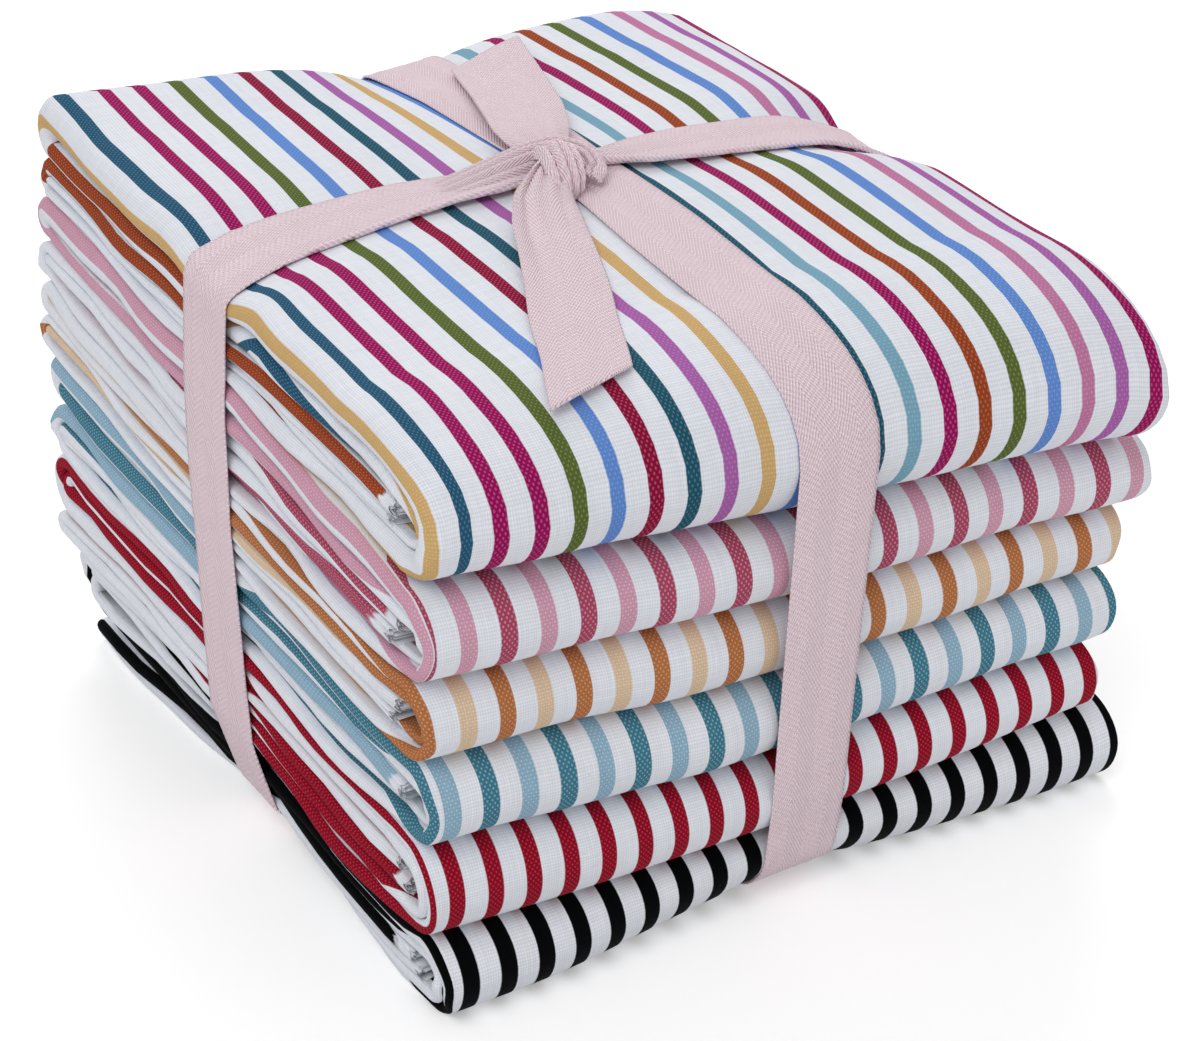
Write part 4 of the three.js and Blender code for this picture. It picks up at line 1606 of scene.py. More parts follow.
class TapeRun:
    """Builds one run of the tape: a closed band drawn tight round the stack.

    Attributes:
        LANES, STEPS: Cells across the band and round the loop.
        SOUNDINGS, NEAR: Lines along which the stack is felt, and how near to them points count.
        FINE, EVEN: Directions in which the bends are found, and in which the lift is evened out.
        BEND_WEIGHT, ROUNDED: Length of loop that a radian of bend counts as, and the fine directions
            over which it is spread.
        SIDE_TOP: Height over which the band moves from its place below to its place on top.
        STIFFNESS: Share of the full stiffness across the band.
        CALM: Angle over which the lift is evened out, in radians.
        TOP: Heights between which the folds and gathers of the top start.
        LEAST_FOLD: Narrowest fold that is made.
        FOLD_SHARES, CREASE: Shares of the cells before, at and behind the fold, and half its width.
        FOLD_RADIUS, FOLD_LIFT, RAISED: Radius of the fold, how far the part folded over stands up,
            and where it starts and stops rising.
        PLEAT, PLEAT_LIFT, PLEAT_GROWTH: From one pleat to the next, their height when fully gathered,
            and the power by which it grows.
        SWAY, SWAY_LENGTH: How far the pleats sway, in pleats, and over what length.
    """

    LANES = 24
    STEPS = 420
    SOUNDINGS = 9
    NEAR = 2.6
    FINE = 6000
    EVEN = 2880
    BEND_WEIGHT = 9.0
    ROUNDED = 30
    SIDE_TOP = 100.0
    STIFFNESS = 0.8
    CALM = 0.035
    TOP = (90.0, 103.0)
    LEAST_FOLD = 0.05
    FOLD_SHARES = (0.0, 0.26, 0.36, 1.0)
    CREASE = 0.25
    FOLD_RADIUS = 0.22
    FOLD_LIFT = 0.62
    RAISED = (-0.2, 0.35)
    PLEAT = 3.6
    PLEAT_LIFT = 2.4
    PLEAT_GROWTH = 1.2
    SWAY = 0.15
    SWAY_LENGTH = 5.0

    def __init__(self, plan: RunPlan, tape: Tape, material: bpy.types.Material) -> None:
        """Keeps what the run is made from.

        Args:
            plan: Its sizes.
            tape: The tape.
            material: Its finish.
        """
        self.plan = plan
        self.tape = tape
        self.material = material
        self.half = tape.width / 2.0
        self.lanes = np.linspace(-self.half, self.half, self.SOUNDINGS)

    def centre_line(self, along: Array, height: Array) -> Array:
        """Where the middle of the tape is, across its run."""
        top = read_line(self.plan.top_line, along)
        return mix(self.plan.under, top, np.clip(height / self.SIDE_TOP, 0.0, 1.0))

    @staticmethod
    def even_turns(count: int) -> Array:
        """Evenly spaced directions round the loop, from straight down."""
        return np.linspace(-0.5 * math.pi, 1.5 * math.pi, count + 1)[:-1]

    def directions(self, outline: Outline) -> Array:
        """Directions round the loop, closer together where it bends.

        Args:
            outline: The loop.

        Returns:
            The directions, in radians.
        """
        dense = self.even_turns(self.FINE)
        reach = outline.reach(dense)
        points = np.stack([np.cos(dense) * reach, np.sin(dense) * reach], axis=-1)
        ahead = np.roll(points, -1, axis=0) - points
        steps = np.hypot(ahead[:, 0], ahead[:, 1])
        headings = np.unwrap(np.arctan2(ahead[:, 1], ahead[:, 0]))
        bends = np.abs(np.diff(np.append(headings, headings[0] + 2.0 * math.pi)))
        window = np.hanning(2 * self.ROUNDED + 1) / self.ROUNDED
        wide = np.convolve(np.tile(bends, 3), window, "same")[len(bends):2 * len(bends)]
        weight = np.concatenate([[0.0], np.cumsum(steps + self.BEND_WEIGHT * wide)])
        wanted = np.linspace(0.0, weight[-1], self.STEPS + 1)[:-1]
        return np.interp(wanted, weight, np.append(dense, 1.5 * math.pi))

    def lifted(self, turns: Array, reach: Array) -> Array:
        """How far the band stands off the stack, as it stays nearly straight across its width.

        Args:
            turns: Evenly spaced directions round the loop.
            reach: Distance to the stack for each direction and sounding line.

        Returns:
            The distance to add to each.
        """
        lanes = self.lanes
        slope = (reach @ lanes)[:, None] / float(lanes @ lanes)
        line = np.mean(reach, axis=1, keepdims=True) + slope * lanes
        line = line + np.max(reach - line, axis=1, keepdims=True)
        lift = line - reach
        window = int(self.CALM / (turns[1] - turns[0]))
        rolled = np.max([np.roll(lift, shift, axis=0) for shift in range(-window, window + 1)], axis=0)
        calm = np.mean([np.roll(rolled, shift, axis=0) for shift in range(-window, window + 1)], axis=0)
        return self.STIFFNESS * calm

    def tight(self, cloud: Array) -> tuple[Array, Array]:
        """Draws the band tight round what it lies on.

        Args:
            cloud: Points of all that it lies on.

        Returns:
            Places along and up of the steps round the loop on each sounding line, and the outward
            directions there.
        """
        plan = self.plan
        along, across, height = cloud[:, plan.axis], cloud[:, 1 - plan.axis], cloud[:, 2]
        offset = across - self.centre_line(along, height)
        near = np.abs(offset) < self.half
        turns = self.directions(Outline(np.stack([along[near], height[near]], axis=-1), plan.middle))
        even = self.even_turns(self.EVEN)
        reaches, dense = [], []
        for lane in self.lanes:
            close = np.abs(offset - lane) < self.NEAR
            line = Outline(np.stack([along[close], height[close]], axis=-1), plan.middle)
            reaches.append(line.reach(turns))
            dense.append(line.reach(even))
        lift = self.lifted(even, np.stack(dense, axis=-1))
        above = [np.interp(turns, even, column, period=2.0 * math.pi) for column in lift.T]
        reach = np.stack(reaches, axis=-1) + np.stack(above, axis=-1)
        ray = np.stack([np.cos(turns), np.sin(turns)], axis=-1)
        base = np.array(plan.middle) + ray[:, None, :] * reach[:, :, None]
        ahead = np.roll(base, -1, axis=0) - np.roll(base, 1, axis=0)
        normal = np.stack([ahead[..., 1], -ahead[..., 0]], axis=-1)
        return base, unit(normal)

    def creased(self, middle: Array, travelled: Array) -> tuple[Array, Array, Array]:
        """Folds the near edge over and gathers the band, on top of the stack.

        Args:
            middle: Places along and up of the band's middle.
            travelled: How far round the loop each of them is.

        Returns:
            For each step and each point across: its place on the flat tape, its place across the
            run, and its lift.
        """
        plan, half = self.plan, self.half
        on_top = smooth(middle[:, 1], *self.TOP)
        fold = read_line(plan.fold, middle[:, 0]) * on_top
        gather = read_line(plan.gather, middle[:, 0]) * on_top
        fold_at = -half + fold
        flat = np.empty((len(fold), self.LANES + 1))
        for row, edge in enumerate(fold_at):
            knots = [-half, edge - self.CREASE * min(1.0, fold[row]), edge + self.CREASE, half]
            flat[row] = np.interp(shares(self.LANES), self.FOLD_SHARES, knots)
        folded = fold > self.LEAST_FOLD
        past = flat - fold_at[:, None]
        turned = fold_at[:, None] + np.sqrt(past**2 + self.FOLD_RADIUS**2) - self.FOLD_RADIUS
        place = np.where(folded[:, None], turned, flat)
        lift = np.where(folded[:, None], self.FOLD_LIFT * smooth(-past, *self.RAISED), 0.0)
        centre = (fold_at + half) / 2.0 * folded
        place = (place - centre[:, None]) * (1.0 - gather[:, None])
        sway = self.SWAY * np.sin(travelled / self.SWAY_LENGTH)[:, None]
        pleats = 0.5 - 0.5 * np.cos(2.0 * math.pi * (flat / self.PLEAT + sway))
        return flat, place, lift + self.PLEAT_LIFT * gather[:, None] ** self.PLEAT_GROWTH * pleats

    def grid(self, cloud: Array) -> tuple[Array, Array, Array]:
        """Centre surface of the band.

        Args:
            cloud: Points of all that the tape lies on.

        Returns:
            Points as rows round the loop and columns across, their outward directions, and the flat
            places of the points.
        """
        axis = self.plan.axis
        base, normal = self.tight(cloud)
        middle = base[:, len(self.lanes) // 2]
        steps = np.hypot(*(np.roll(middle, -1, axis=0) - middle).T)
        travelled = np.concatenate([[0.0], np.cumsum(steps)[:-1]])
        flat_place, place, lift = self.creased(middle, travelled)

        rows = np.arange(len(place))[:, None]
        last = len(self.lanes) - 1
        spot = np.clip((place + self.half) / self.tape.width * last, 0.0, last - 0.001)
        low = spot.astype(int)
        part = (spot - low)[..., None]
        ground = mix(base[rows, low], base[rows, low + 1], part)
        out = mix(normal[rows, low], normal[rows, low + 1], part)
        raised = ground + out * (lift + self.tape.clearance + self.tape.thickness / 2.0)[..., None]
        points = np.empty((*place.shape, 3))
        points[..., axis] = raised[..., 0]
        points[..., 1 - axis] = self.centre_line(ground[..., 0], ground[..., 1]) + place
        points[..., 2] = raised[..., 1]
        flat = np.stack([flat_place, np.repeat(travelled[:, None], self.LANES + 1, axis=1)], axis=-1) * MM
        return points, self.surface_normals(points), flat

    @staticmethod
    def surface_normals(points: Array) -> Array:
        """Unit directions square to a looped grid.

        Args:
            points: Rows round the loop and columns across it.

        Returns:
            One direction for each point.
        """
        ahead = np.roll(points, -1, axis=0) - np.roll(points, 1, axis=0)
        aside = np.gradient(points, axis=1)
        normal = np.cross(ahead, aside)
        return normal / np.maximum(np.linalg.norm(normal, axis=-1, keepdims=True), 1e-9)

    def build(self, cloud: Array, origin: Vector, rests_on: list[str]) -> tuple[bpy.types.Object, Array]:
        """Args:
            cloud: Points of all that the tape lies on.
            origin: Where the stack's own axes start in the part.
            rests_on: Names of the pieces that it lies on; not used.

        Returns:
            The piece, and its points in the stack's own axes.
        """
        points, normal, flat = self.grid(cloud)
        half = self.tape.thickness / 2.0
        closed = np.concatenate([np.arange(len(points)), [0]])
        front, back = points + normal * half, points - normal * half
        rows, columns = points.shape[:2]
        number = np.arange(rows * columns).reshape(rows, columns)[closed]
        other = number + rows * columns
        quads = np.concatenate([
            MeshBuilder.between(number[:-1], number[1:], False),
            MeshBuilder.between(other[:-1], other[1:], True),
            MeshBuilder.between(number[:, 0], other[:, 0], False),
            MeshBuilder.between(number[:, -1], other[:, -1], True),
        ])
        every = np.concatenate([front.reshape(-1, 3), back.reshape(-1, 3)])
        corners = np.concatenate([flat.reshape(-1, 2)] * 2)[quads]
        length = float(flat[-1, 0, 1] + np.linalg.norm(points[0, 0] - points[-1, 0]) * MM)
        wraps = np.ptp(corners[..., 1], axis=1) > length / 2.0
        corners[..., 1] += length * (wraps[:, None] & (corners[..., 1] < length / 2.0))
        piece = MeshBuilder.build(self.plan.name, every, quads, corners, self.material, origin)
        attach(piece, BODY)
        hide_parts(self.plan.node)
        LOG.info("%s: %.0f mm round", self.plan.name, length * 1000.0)
        return piece, every


@dataclass(frozen=True)
class RibbonPlan:
    """Sizes of one stretch of tape that lies or bends freely.

    Attributes:
        rows: Its stations. Each has the place in X, Y and Z of its middle, its width there, how far
            its middle bulges, the depth of its pleats, and the direction of its width as an angle
            round Z and a tilt, in degrees.
        pleats: Number of pleats across it.
        cut_slant: How much longer the edge that the direction points to is at the free end.
        on_ground: Whether Z is counted from the cloth beneath.
        rolled: How far that edge is rolled up near the start.
    """

    rows: tuple[tuple[float, ...], ...]
    pleats: float = 3.0
    cut_slant: float = 0.0
    on_ground: bool = False
    rolled: float = 0.0


@dataclass(frozen=True)
class Ribbon:
    """Works out the two faces of one stretch of tape.

    Attributes:
        plan: Its sizes.
        tape: The tape.
        ground: Surface of the cloth beneath.
        ROWS, COLUMNS: Cells along it and across it.
        SAMPLES: Steps in which its stations are evened out.
        SLANTED: Power by which the slant of the cut grows towards the free end.
        SWAY, SWAYS: How far the pleats sway, and their sways along the ribbon, in radians.
        ROUNDNESS: Power of its bulge across.
        ROLL_EDGE, ROLL_OUT, ROLL_IN: Where across it the roll starts, where along it the roll runs
            out, and how far the edge moves in for each millimetre of roll.
    """

    plan: RibbonPlan
    tape: Tape
    ground: Surface
    ROWS = 96
    COLUMNS = 40
    SAMPLES = 500
    SLANTED = 4
    SWAY = 0.8
    SWAYS = 5.0
    ROUNDNESS = 2.2
    ROLL_EDGE = 0.35
    ROLL_OUT = (0.15, 0.75)
    ROLL_IN = 0.9

    def smoothed(self) -> tuple[Array, Array]:
        """Evens out the stations along the ribbon.

        Returns:
            The stations, and their distances from the start.
        """
        table = np.array(self.plan.rows)
        knots = np.concatenate([[0.0], np.cumsum(np.linalg.norm(np.diff(table[:, :3], axis=0), axis=1))])
        fine = np.linspace(0.0, knots[-1], self.SAMPLES)
        half = self.SAMPLES // (len(table) * 2)
        kernel = np.hanning(2 * half + 1)
        kernel /= kernel.sum()
        columns = []
        for column in table.T:
            values = np.interp(fine, knots, column)
            before = 2.0 * values[0] - values[half:0:-1]
            after = 2.0 * values[-1] - values[-2:-half - 2:-1]
            columns.append(np.convolve(np.concatenate([before, values, after]), kernel, "valid"))
        return np.stack(columns, axis=-1), fine

    def faces(self) -> tuple[Array, Array, Array, float]:
        """The ribbon's surface.

        Returns:
            The points of both faces, their flat places in metres, and the length.
        """
        plan = self.plan
        stations, fine = self.smoothed()
        length = float(fine[-1])
        share = shares(self.ROWS)[:, None]
        side_share = np.linspace(-1.0, 1.0, self.COLUMNS + 1)[None, :]
        reach = length * share + plan.cut_slant / 2.0 * side_share * share**self.SLANTED
        inside = np.clip(reach, 0.0, length)
        x, y, z, width, bulge, pleat, turn, tilt = (np.interp(inside, fine, column) for column in stations.T)
        heading = np.gradient(stations[:, :3], fine, axis=0)
        if plan.on_ground:
            heading[:, 2] = 0.0
        ahead = unit(np.stack([np.interp(inside, fine, column) for column in heading.T], axis=-1))
        turn, tilt = np.radians(turn), np.radians(tilt)
        side = np.stack([np.cos(turn) * np.cos(tilt), np.sin(turn) * np.cos(tilt), np.sin(tilt)], axis=-1)
        side = unit(side - ahead * np.sum(side * ahead, axis=-1, keepdims=True))
        out = np.cross(side, ahead)
        sway = self.SWAY * np.sin(share * self.SWAYS)
        wave = 0.5 - 0.5 * np.cos(math.pi * plan.pleats * (side_share + 1.0) + sway)
        roll = plan.rolled * smooth(side_share, self.ROLL_EDGE, 1.0) * (1.0 - smooth(share, *self.ROLL_OUT))
        lift = bulge * (1.0 - np.abs(side_share) ** self.ROUNDNESS) + pleat * wave + roll
        place = side_share * width / 2.0 - roll * self.ROLL_IN
        middle = np.stack([x, y, z], axis=-1) + ahead * (reach - inside)[..., None]
        points = middle + side * place[..., None] + out * lift[..., None]
        if plan.on_ground:
            points[..., 2] += self.ground(points[..., 0], points[..., 1])
        normal = unit(np.cross(np.gradient(points, axis=1), np.gradient(points, axis=0)))
        half = self.tape.thickness / 2.0
        flat = np.stack([side_share * self.tape.width / 2.0 + 0.0 * reach, reach], axis=-1) * MM
        return points + normal * half, points - normal * half, flat, length


@dataclass(frozen=True)
class RibbonPiece:
    """A piece made of one or more stretches of tape.

    Attributes:
        name: Name of the piece.
        node: The node that it stands for.
        plans: Its stretches.
        held: How the tape lies.
    """

    name: str
    node: str
    plans: tuple[RibbonPlan, ...]
    held: str

    def build(self, tape: Tape, material: bpy.types.Material, ground: Surface, origin: Vector,
              rests_on: list[str]) -> bpy.types.Object:
        """Args:
            tape: The tape.
            material: Its finish.
            ground: Surface of the cloth beneath.
            origin: Where the stack's own axes start in the part.
            rests_on: Names of the pieces that it lies on; not used.

        Returns:
            The piece.
        """
        every, quads, flats, start, total = [], [], [], 0, 0.0
        for plan in self.plans:
            front, back, flat, length = Ribbon(plan, tape, ground).faces()
            points, cells = MeshBuilder.closed_sheet(front, back)
            if MeshBuilder.volume(points, cells) < 0.0:
                cells = cells[:, ::-1]
            every.append(points)
            quads.append(cells + start)
            flat_rows = flat.reshape(-1, 2) + np.array([0.0, total * MM])
            flats.append(np.concatenate([flat_rows, flat_rows]))
            start += len(points)
            total += length
        piece = MeshBuilder.build(
            self.name, np.concatenate(every), np.concatenate(quads), np.concatenate(flats), material, origin,
        )
        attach(piece, BODY)
        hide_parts(self.node)
        LOG.info("%s: %.0f mm long", self.name, total)
        return piece


# ---- The bundle ----

CANDY = Stripes(6.93, -73.5, 0.41, (
    Hue.MUSTARD, Hue.STEEL, Hue.MAGENTA, Hue.MAGENTA, Hue.OLIVE, Hue.BLUE, Hue.CRIMSON, Hue.DEEP_TEAL,
    Hue.PURPLE, Hue.MUSTARD, Hue.BLUE, Hue.CRIMSON, Hue.DEEP_TEAL, Hue.LIGHT_TEAL, Hue.MAGENTA,
    Hue.CINNAMON, Hue.OLIVE, Hue.BLUE, Hue.LILAC, Hue.PURPLE, Hue.MAGENTA, Hue.CINNAMON,
))

BLACK_SLABS = (
    Slab((2.6, 2.4, 2.6), (-0.5, -0.5, -0.5, -1.0, -1.0), (0.6, 2.0, 2.0)),
    Slab((4.4, 4.6, 3.6), (-1.18, -1.0, -1.0, -0.85, -0.4)),
    Slab((2.2, 2.0, 2.2), (-1.1, -0.5, -0.5, -0.5, -0.5), (1.0, 7.5, 3.0)),
    Slab((2.4, 2.2, 2.6), (-0.5, -0.5, -0.5, -1.0, -1.0), (0.8, 5.0, 2.5)),
    Slab((2.6, 3.0, 2.8), (-0.6, -0.9, -1.0, -0.9, -0.5), (0.4, 0.5, 0.6)),
    Slab((2.6, 3.0, 2.8), (-0.7, -1.0, -1.0, -1.0, -0.6), (0.4, 1.4, 1.2)),
)
RED_SLABS = (
    Slab((3.6, 3.2, 4.0), (-1.0, -1.0, -1.0, -0.6, -0.5), (0.6, 0.5, 0.5)),
    Slab((2.4, 2.6, 3.4), (-1.18, -1.15, -1.05, -0.9, -0.85)),
    Slab((3.0, 2.8, 2.6), (-1.18, -1.0, -1.0, -0.7, -0.6)),
    Slab((2.4, 2.6, 2.6), (-0.5, 0.0, -0.1, -0.3, -0.5), (0.5, 0.4, 0.4)),
    Slab((3.4, 3.2, 3.4), (-0.5, -0.5, -0.5, 0.1, 0.15), (0.4, 0.4, 0.4)),
    Slab((3.0, 3.0, 4.0), (-0.5, -0.5, -0.4, 0.0, 0.0), (0.6, 0.4, 0.4)),
)
TEAL_SLABS = (
    Slab((3.5, 4.2, 4.0), (0.0, 0.0, 0.0, 0.0, 0.0), (0.5, 0.3, 0.3)),
    Slab((3.0, 2.2, 2.0), (-1.0, -0.5, -0.5, -0.5, -0.5)),
    Slab((4.2, 6.6, 6.4), (-1.0, -1.0, -1.0, 0.0, 0.0)),
    Slab((3.5, 4.3, 5.0), (-0.5, -1.0, -0.75, -1.0, -1.0), (0.8, 0.6, 0.3)),
    Slab((2.0, 2.0, 2.2), (-0.5, -0.5, -0.5, -0.5, -0.5), (2.2, 2.2, 1.2)),
    Slab((2.0, 2.0, 2.4), (-0.5, -0.5, -0.5, -0.5, -0.7), (1.0, 0.8, 0.4)),
)
RUST_SLABS = (
    Slab((3.8, 3.8, 2.8), (0.5, 0.6, 0.9, 0.8, 0.5), (0.2, 0.3, 0.3)),
    Slab((2.6, 2.0, 2.0), (0.0, -0.5, -0.5, -0.5, -0.5)),
    Slab((2.2, 3.6, 4.4), (0.0, -0.25, -0.3, -0.45, -0.5)),
    Slab((3.3, 4.2, 4.0), (0.0, 0.0, 0.0, 0.0, -0.6), (0.4, 0.3, 0.3)),
    Slab((2.0, 2.0, 2.0), (0.0, -0.5, -0.5, -0.5, -0.5), (2.0, 2.0, 2.0)),
    Slab((3.4, 2.3, 2.2), (-0.5, -0.5, -0.5, -0.6, -1.0), (0.6, 0.4, 0.4)),
)
ROSE_SLABS = (
    Slab((4.0, 4.2, 3.0), (-0.1, -0.1, -0.3, -0.4, -0.5), (0.3, 0.3, 0.3)),
    Slab((3.5, 2.0, 3.2), (-1.0, -0.5, -0.5, -0.5, -0.5)),
    Slab((6.5, 6.0, 8.0), (-1.0, -1.1, -1.1, -1.1, -1.1)),
    Slab((3.5, 4.2, 3.8), (-0.5, -1.0, -1.0, -1.0, -1.1), (0.5, 0.4, 0.4)),
    Slab((2.2, 2.0, 2.2), (-0.5, -0.5, -0.5, -0.5, -0.5), (2.2, 2.0, 2.0)),
    Slab((4.0, 3.8, 3.0), (0.0, 0.0, -0.3, -0.4, -0.5), (0.6, 0.4, 0.4)),
)
MULTI_SLABS = (
    Slab((4.5, 2.8, 4.0), (-1.0, -1.0, -1.0, -1.0, -1.0), (0.5, 0.3, 0.3)),
    Slab((6.0, 2.6, 1.4), (-0.4, -0.5, -0.5, -0.5, -0.5)),
    Slab((9.0, 6.2, 9.5), (0.15, 0.1, 0.0, 0.2, 0.45)),
    Slab((4.0, 4.6, 4.0), (0.5, 0.6, 1.2, -0.75, -1.0), (1.0, 0.5, 0.5)),
    Slab((2.2, 1.4, 1.0), (-0.5, -0.5, -0.5, -0.5, -0.5), (1.6, 1.2, 1.2)),
    Slab((2.2, 1.6, 1.4), (-0.5, -0.5, -0.5, -0.5, -0.5), (1.2, 1.0, 1.0)),
)

# Each row: node, slot, left, right, front and rear, front bow, turn, roll, nose, letter, stripes,
# slabs, seed, tuck and lapped.
CUTS = (
    CutPlan("cloth_black", "cotton_black", -69.5, 74.0, -77.5, 72.5, 0.5, 5.5, 4.0, 0.45, -1,
            Stripes(7.257, -66.5, 0.47, (Hue.BLACK,), 0.0, 0.0), BLACK_SLABS, 100, 7.0, True),
    CutPlan("cloth_red", "cotton_red", -71.5, 67.5, -77.0, 77.0, 0.5, 5.5, 5.5, 0.5, -1,
            Stripes(7.33, -67.9, 0.44, (Hue.RED,), 1.2, 0.05), RED_SLABS, 200, 0.0, True),
    CutPlan("cloth_teal", "cotton_teal", -71.5, 70.0, -77.0, 75.5, 0.5, 5.5, 5.5, 0.5, 1,
            Stripes(7.2, -69.0, 0.47, (Hue.SKY, Hue.TEAL), 0.0, 0.24), TEAL_SLABS, 300, 0.0, True),
    CutPlan("cloth_rust", "cotton_rust", -72.0, 70.0, -76.5, 74.5, 0.5, 5.5, 5.5, 0.5, 1,
            Stripes(7.37, -72.4, 0.45, (Hue.RUST, Hue.TAN), 1.3, 0.20), RUST_SLABS, 400),
    CutPlan("cloth_rose", "cotton_rose", -71.5, 74.0, -77.5, 73.5, 1.0, 5.5, 5.5, 0.5, 1,
            Stripes(7.45, -72.7, 0.45, (Hue.ROSE, Hue.PINK), 1.3, 0.24), ROSE_SLABS, 500, 0.0, True),
    CutPlan("cloth_multi", "cotton_multi", -70.5, 69.0, -78.0, 72.5, 8.0, 5.5, 26.0, 0.38, 1,
            CANDY, MULTI_SLABS, 600),
)

# Corner heights, sag and left edge of each boundary, from the bottom up.
LEVELS = (
    (17.6, 17.3, 22.8, 20.8, 3.6, (0.0, -2.5, -2.5, 0.8, 1.9, 2.0, 1.6)),
    (33.9, 31.3, 42.8, 38.3, 3.2, (0.0, 0.0, -0.3, 1.0, 0.8, 0.8, 1.4)),
    (50.0, 45.8, 63.8, 55.8, 2.6, (0.4, -0.3, 0.4, 0.6, 1.2, 1.8, 3.2)),
    (66.3, 58.3, 82.3, 72.3, 2.6, (0.0, -3.5, -3.0, -2.8, -4.2, -3.2, -0.8)),
    (79.8, 73.8, 98.8, 90.3, 1.6, (0.0, 1.5, 2.0, 3.0, 0.5, 0.3, 0.3)),
)
BOUNDARIES = tuple(
    Boundary(*level, Waves(11 + number, 0.15, 40.0, 90.0, 1.5)) for number, level in enumerate(LEVELS)
)

ALONG = RunPlan(
    "tie_along", "tape_along", 1, 2.6,
    ((-84.0, 3.7), (-50.0, 2.5), (0.0, 2.6), (20.0, 4.0), (60.0, 5.5), (77.0, 6.0)),
    ((-84.0, 0.0), (84.0, 0.0)),
    ((-30.0, 0.0), (-12.0, 0.08), (0.0, 0.08), (18.0, 0.0)),
    (0.0, 55.0),
)
ACROSS = RunPlan(
    "tie_across", "tape_across", 0, -4.5,
    tuple((float(x), float(across_line(x))) for x in range(-84, 85, 4)),
    ((-60.0, 0.0), (-46.0, 0.6), (-28.0, 1.8), (-12.0, 3.2), (4.0, 3.4), (14.0, 2.2), (30.0, 1.4),
     (52.0, 1.0), (72.0, 0.0)),
    ((-46.0, 0.0), (-28.0, 0.05), (-14.0, 0.22), (-6.0, 0.46), (-2.0, 0.55), (4.0, 0.58), (10.0, 0.34),
     (16.0, 0.14), (26.0, 0.02), (46.0, 0.0)),
    (0.0, 55.0),
)
TAIL_FRONT = RibbonPiece("tie_tail_front", "tail_front", (RibbonPlan(
    ((-5.2, -4.6, 3.4, 5.5, 0.6, 0.9, 148.0, 0.0), (-8.6, -8.4, 3.2, 8.6, 1.6, 0.8, 142.0, 0.0),
     (-12.8, -13.4, 2.0, 12.6, 1.8, 0.5, 138.0, 0.0), (-15.9, -20.5, 1.0, 14.6, 1.1, 0.25, 146.0, 0.0),
     (-18.9, -29.0, 0.8, 14.8, 0.6, 0.1, 153.0, 0.0), (-22.4, -38.0, 0.8, 14.8, 0.3, 0.0, 156.0, 0.0),
     (-27.0, -48.0, 0.8, 14.6, 0.1, 0.0, 156.0, 0.0), (-31.0, -58.0, 0.8, 14.4, 0.0, 0.0, 155.0, 0.0),
     (-35.0, -66.5, 0.8, 14.4, 0.0, 0.0, 154.0, 0.0)),
    pleats=4.0, cut_slant=12.5, on_ground=True, rolled=2.0,
),), "laid")
TAIL_BACK = RibbonPiece("tie_tail_back", "tail_back", (RibbonPlan(
    ((-3.4, -1.0, 4.0, 6.0, 0.6, 0.9, -12.0, 0.0), (-2.6, 2.6, 3.6, 8.5, 1.2, 0.8, -18.0, 0.0),
     (-0.4, 8.0, 2.9, 11.5, 1.1, 0.5, -26.0, 0.0), (3.0, 16.0, 2.4, 14.2, 0.8, 0.2, -28.0, 0.0),
     (7.2, 26.0, 2.3, 15.2, 0.4, 0.0, -24.0, 0.0), (11.0, 37.0, 2.3, 15.2, 0.2, 0.0, -19.0, 0.0),
     (14.8, 49.0, 2.2, 15.2, 0.0, 0.0, -17.0, 0.0), (17.4, 57.5, 2.2, 15.2, 0.0, 0.0, -17.0, 0.0)),
    pleats=3.0, cut_slant=8.0, on_ground=True,
),), "laid")
KNOT = RibbonPiece("tie_knot", "tape_knot", (
    RibbonPlan(
        ((-24.0, 4.4, 111.2, 7.0, 0.2, 0.2, 270.0, -4.0), (-16.0, 3.0, 112.6, 7.6, 1.0, 0.5, 270.0, -8.0),
         (-10.5, 1.9, 113.7, 7.0, 1.8, 0.8, 264.0, -18.0),
         (-5.6, 0.9, 115.2, 6.0, 2.2, 1.0, 256.0, -34.0), (-2.2, -0.2, 116.2, 5.6, 2.2, 1.0, 242.0, -44.0),
         (0.6, -2.4, 116.0, 5.4, 2.2, 1.0, 220.0, -46.0), (2.2, -5.2, 114.9, 5.4, 2.2, 1.0, 200.0, -40.0),
         (1.8, -8.0, 113.4, 5.4, 2.0, 1.0, 180.0, -30.0), (-0.6, -9.6, 112.8, 5.4, 1.6, 0.8, 150.0, -20.0)),
        pleats=4.0,
    ),
    RibbonPlan(
        ((-3.6, 0.2, 114.2, 6.0, 1.2, 1.1, 180.0, 0.0), (-3.6, -1.6, 116.3, 6.6, 1.5, 1.1, 180.0, 0.0),
         (-4.0, -4.6, 117.3, 7.0, 1.6, 1.2, 182.0, 0.0), (-4.7, -7.8, 116.8, 7.4, 1.7, 1.2, 184.0, 0.0),
         (-5.4, -10.2, 115.4, 7.2, 1.7, 1.2, 186.0, 0.0), (-5.8, -11.0, 113.9, 6.6, 1.5, 1.1, 188.0, 0.0),
         (-5.6, -9.6, 113.0, 5.6, 0.8, 0.8, 188.0, 0.0)),
        pleats=4.0,
    ),
), "gathered")


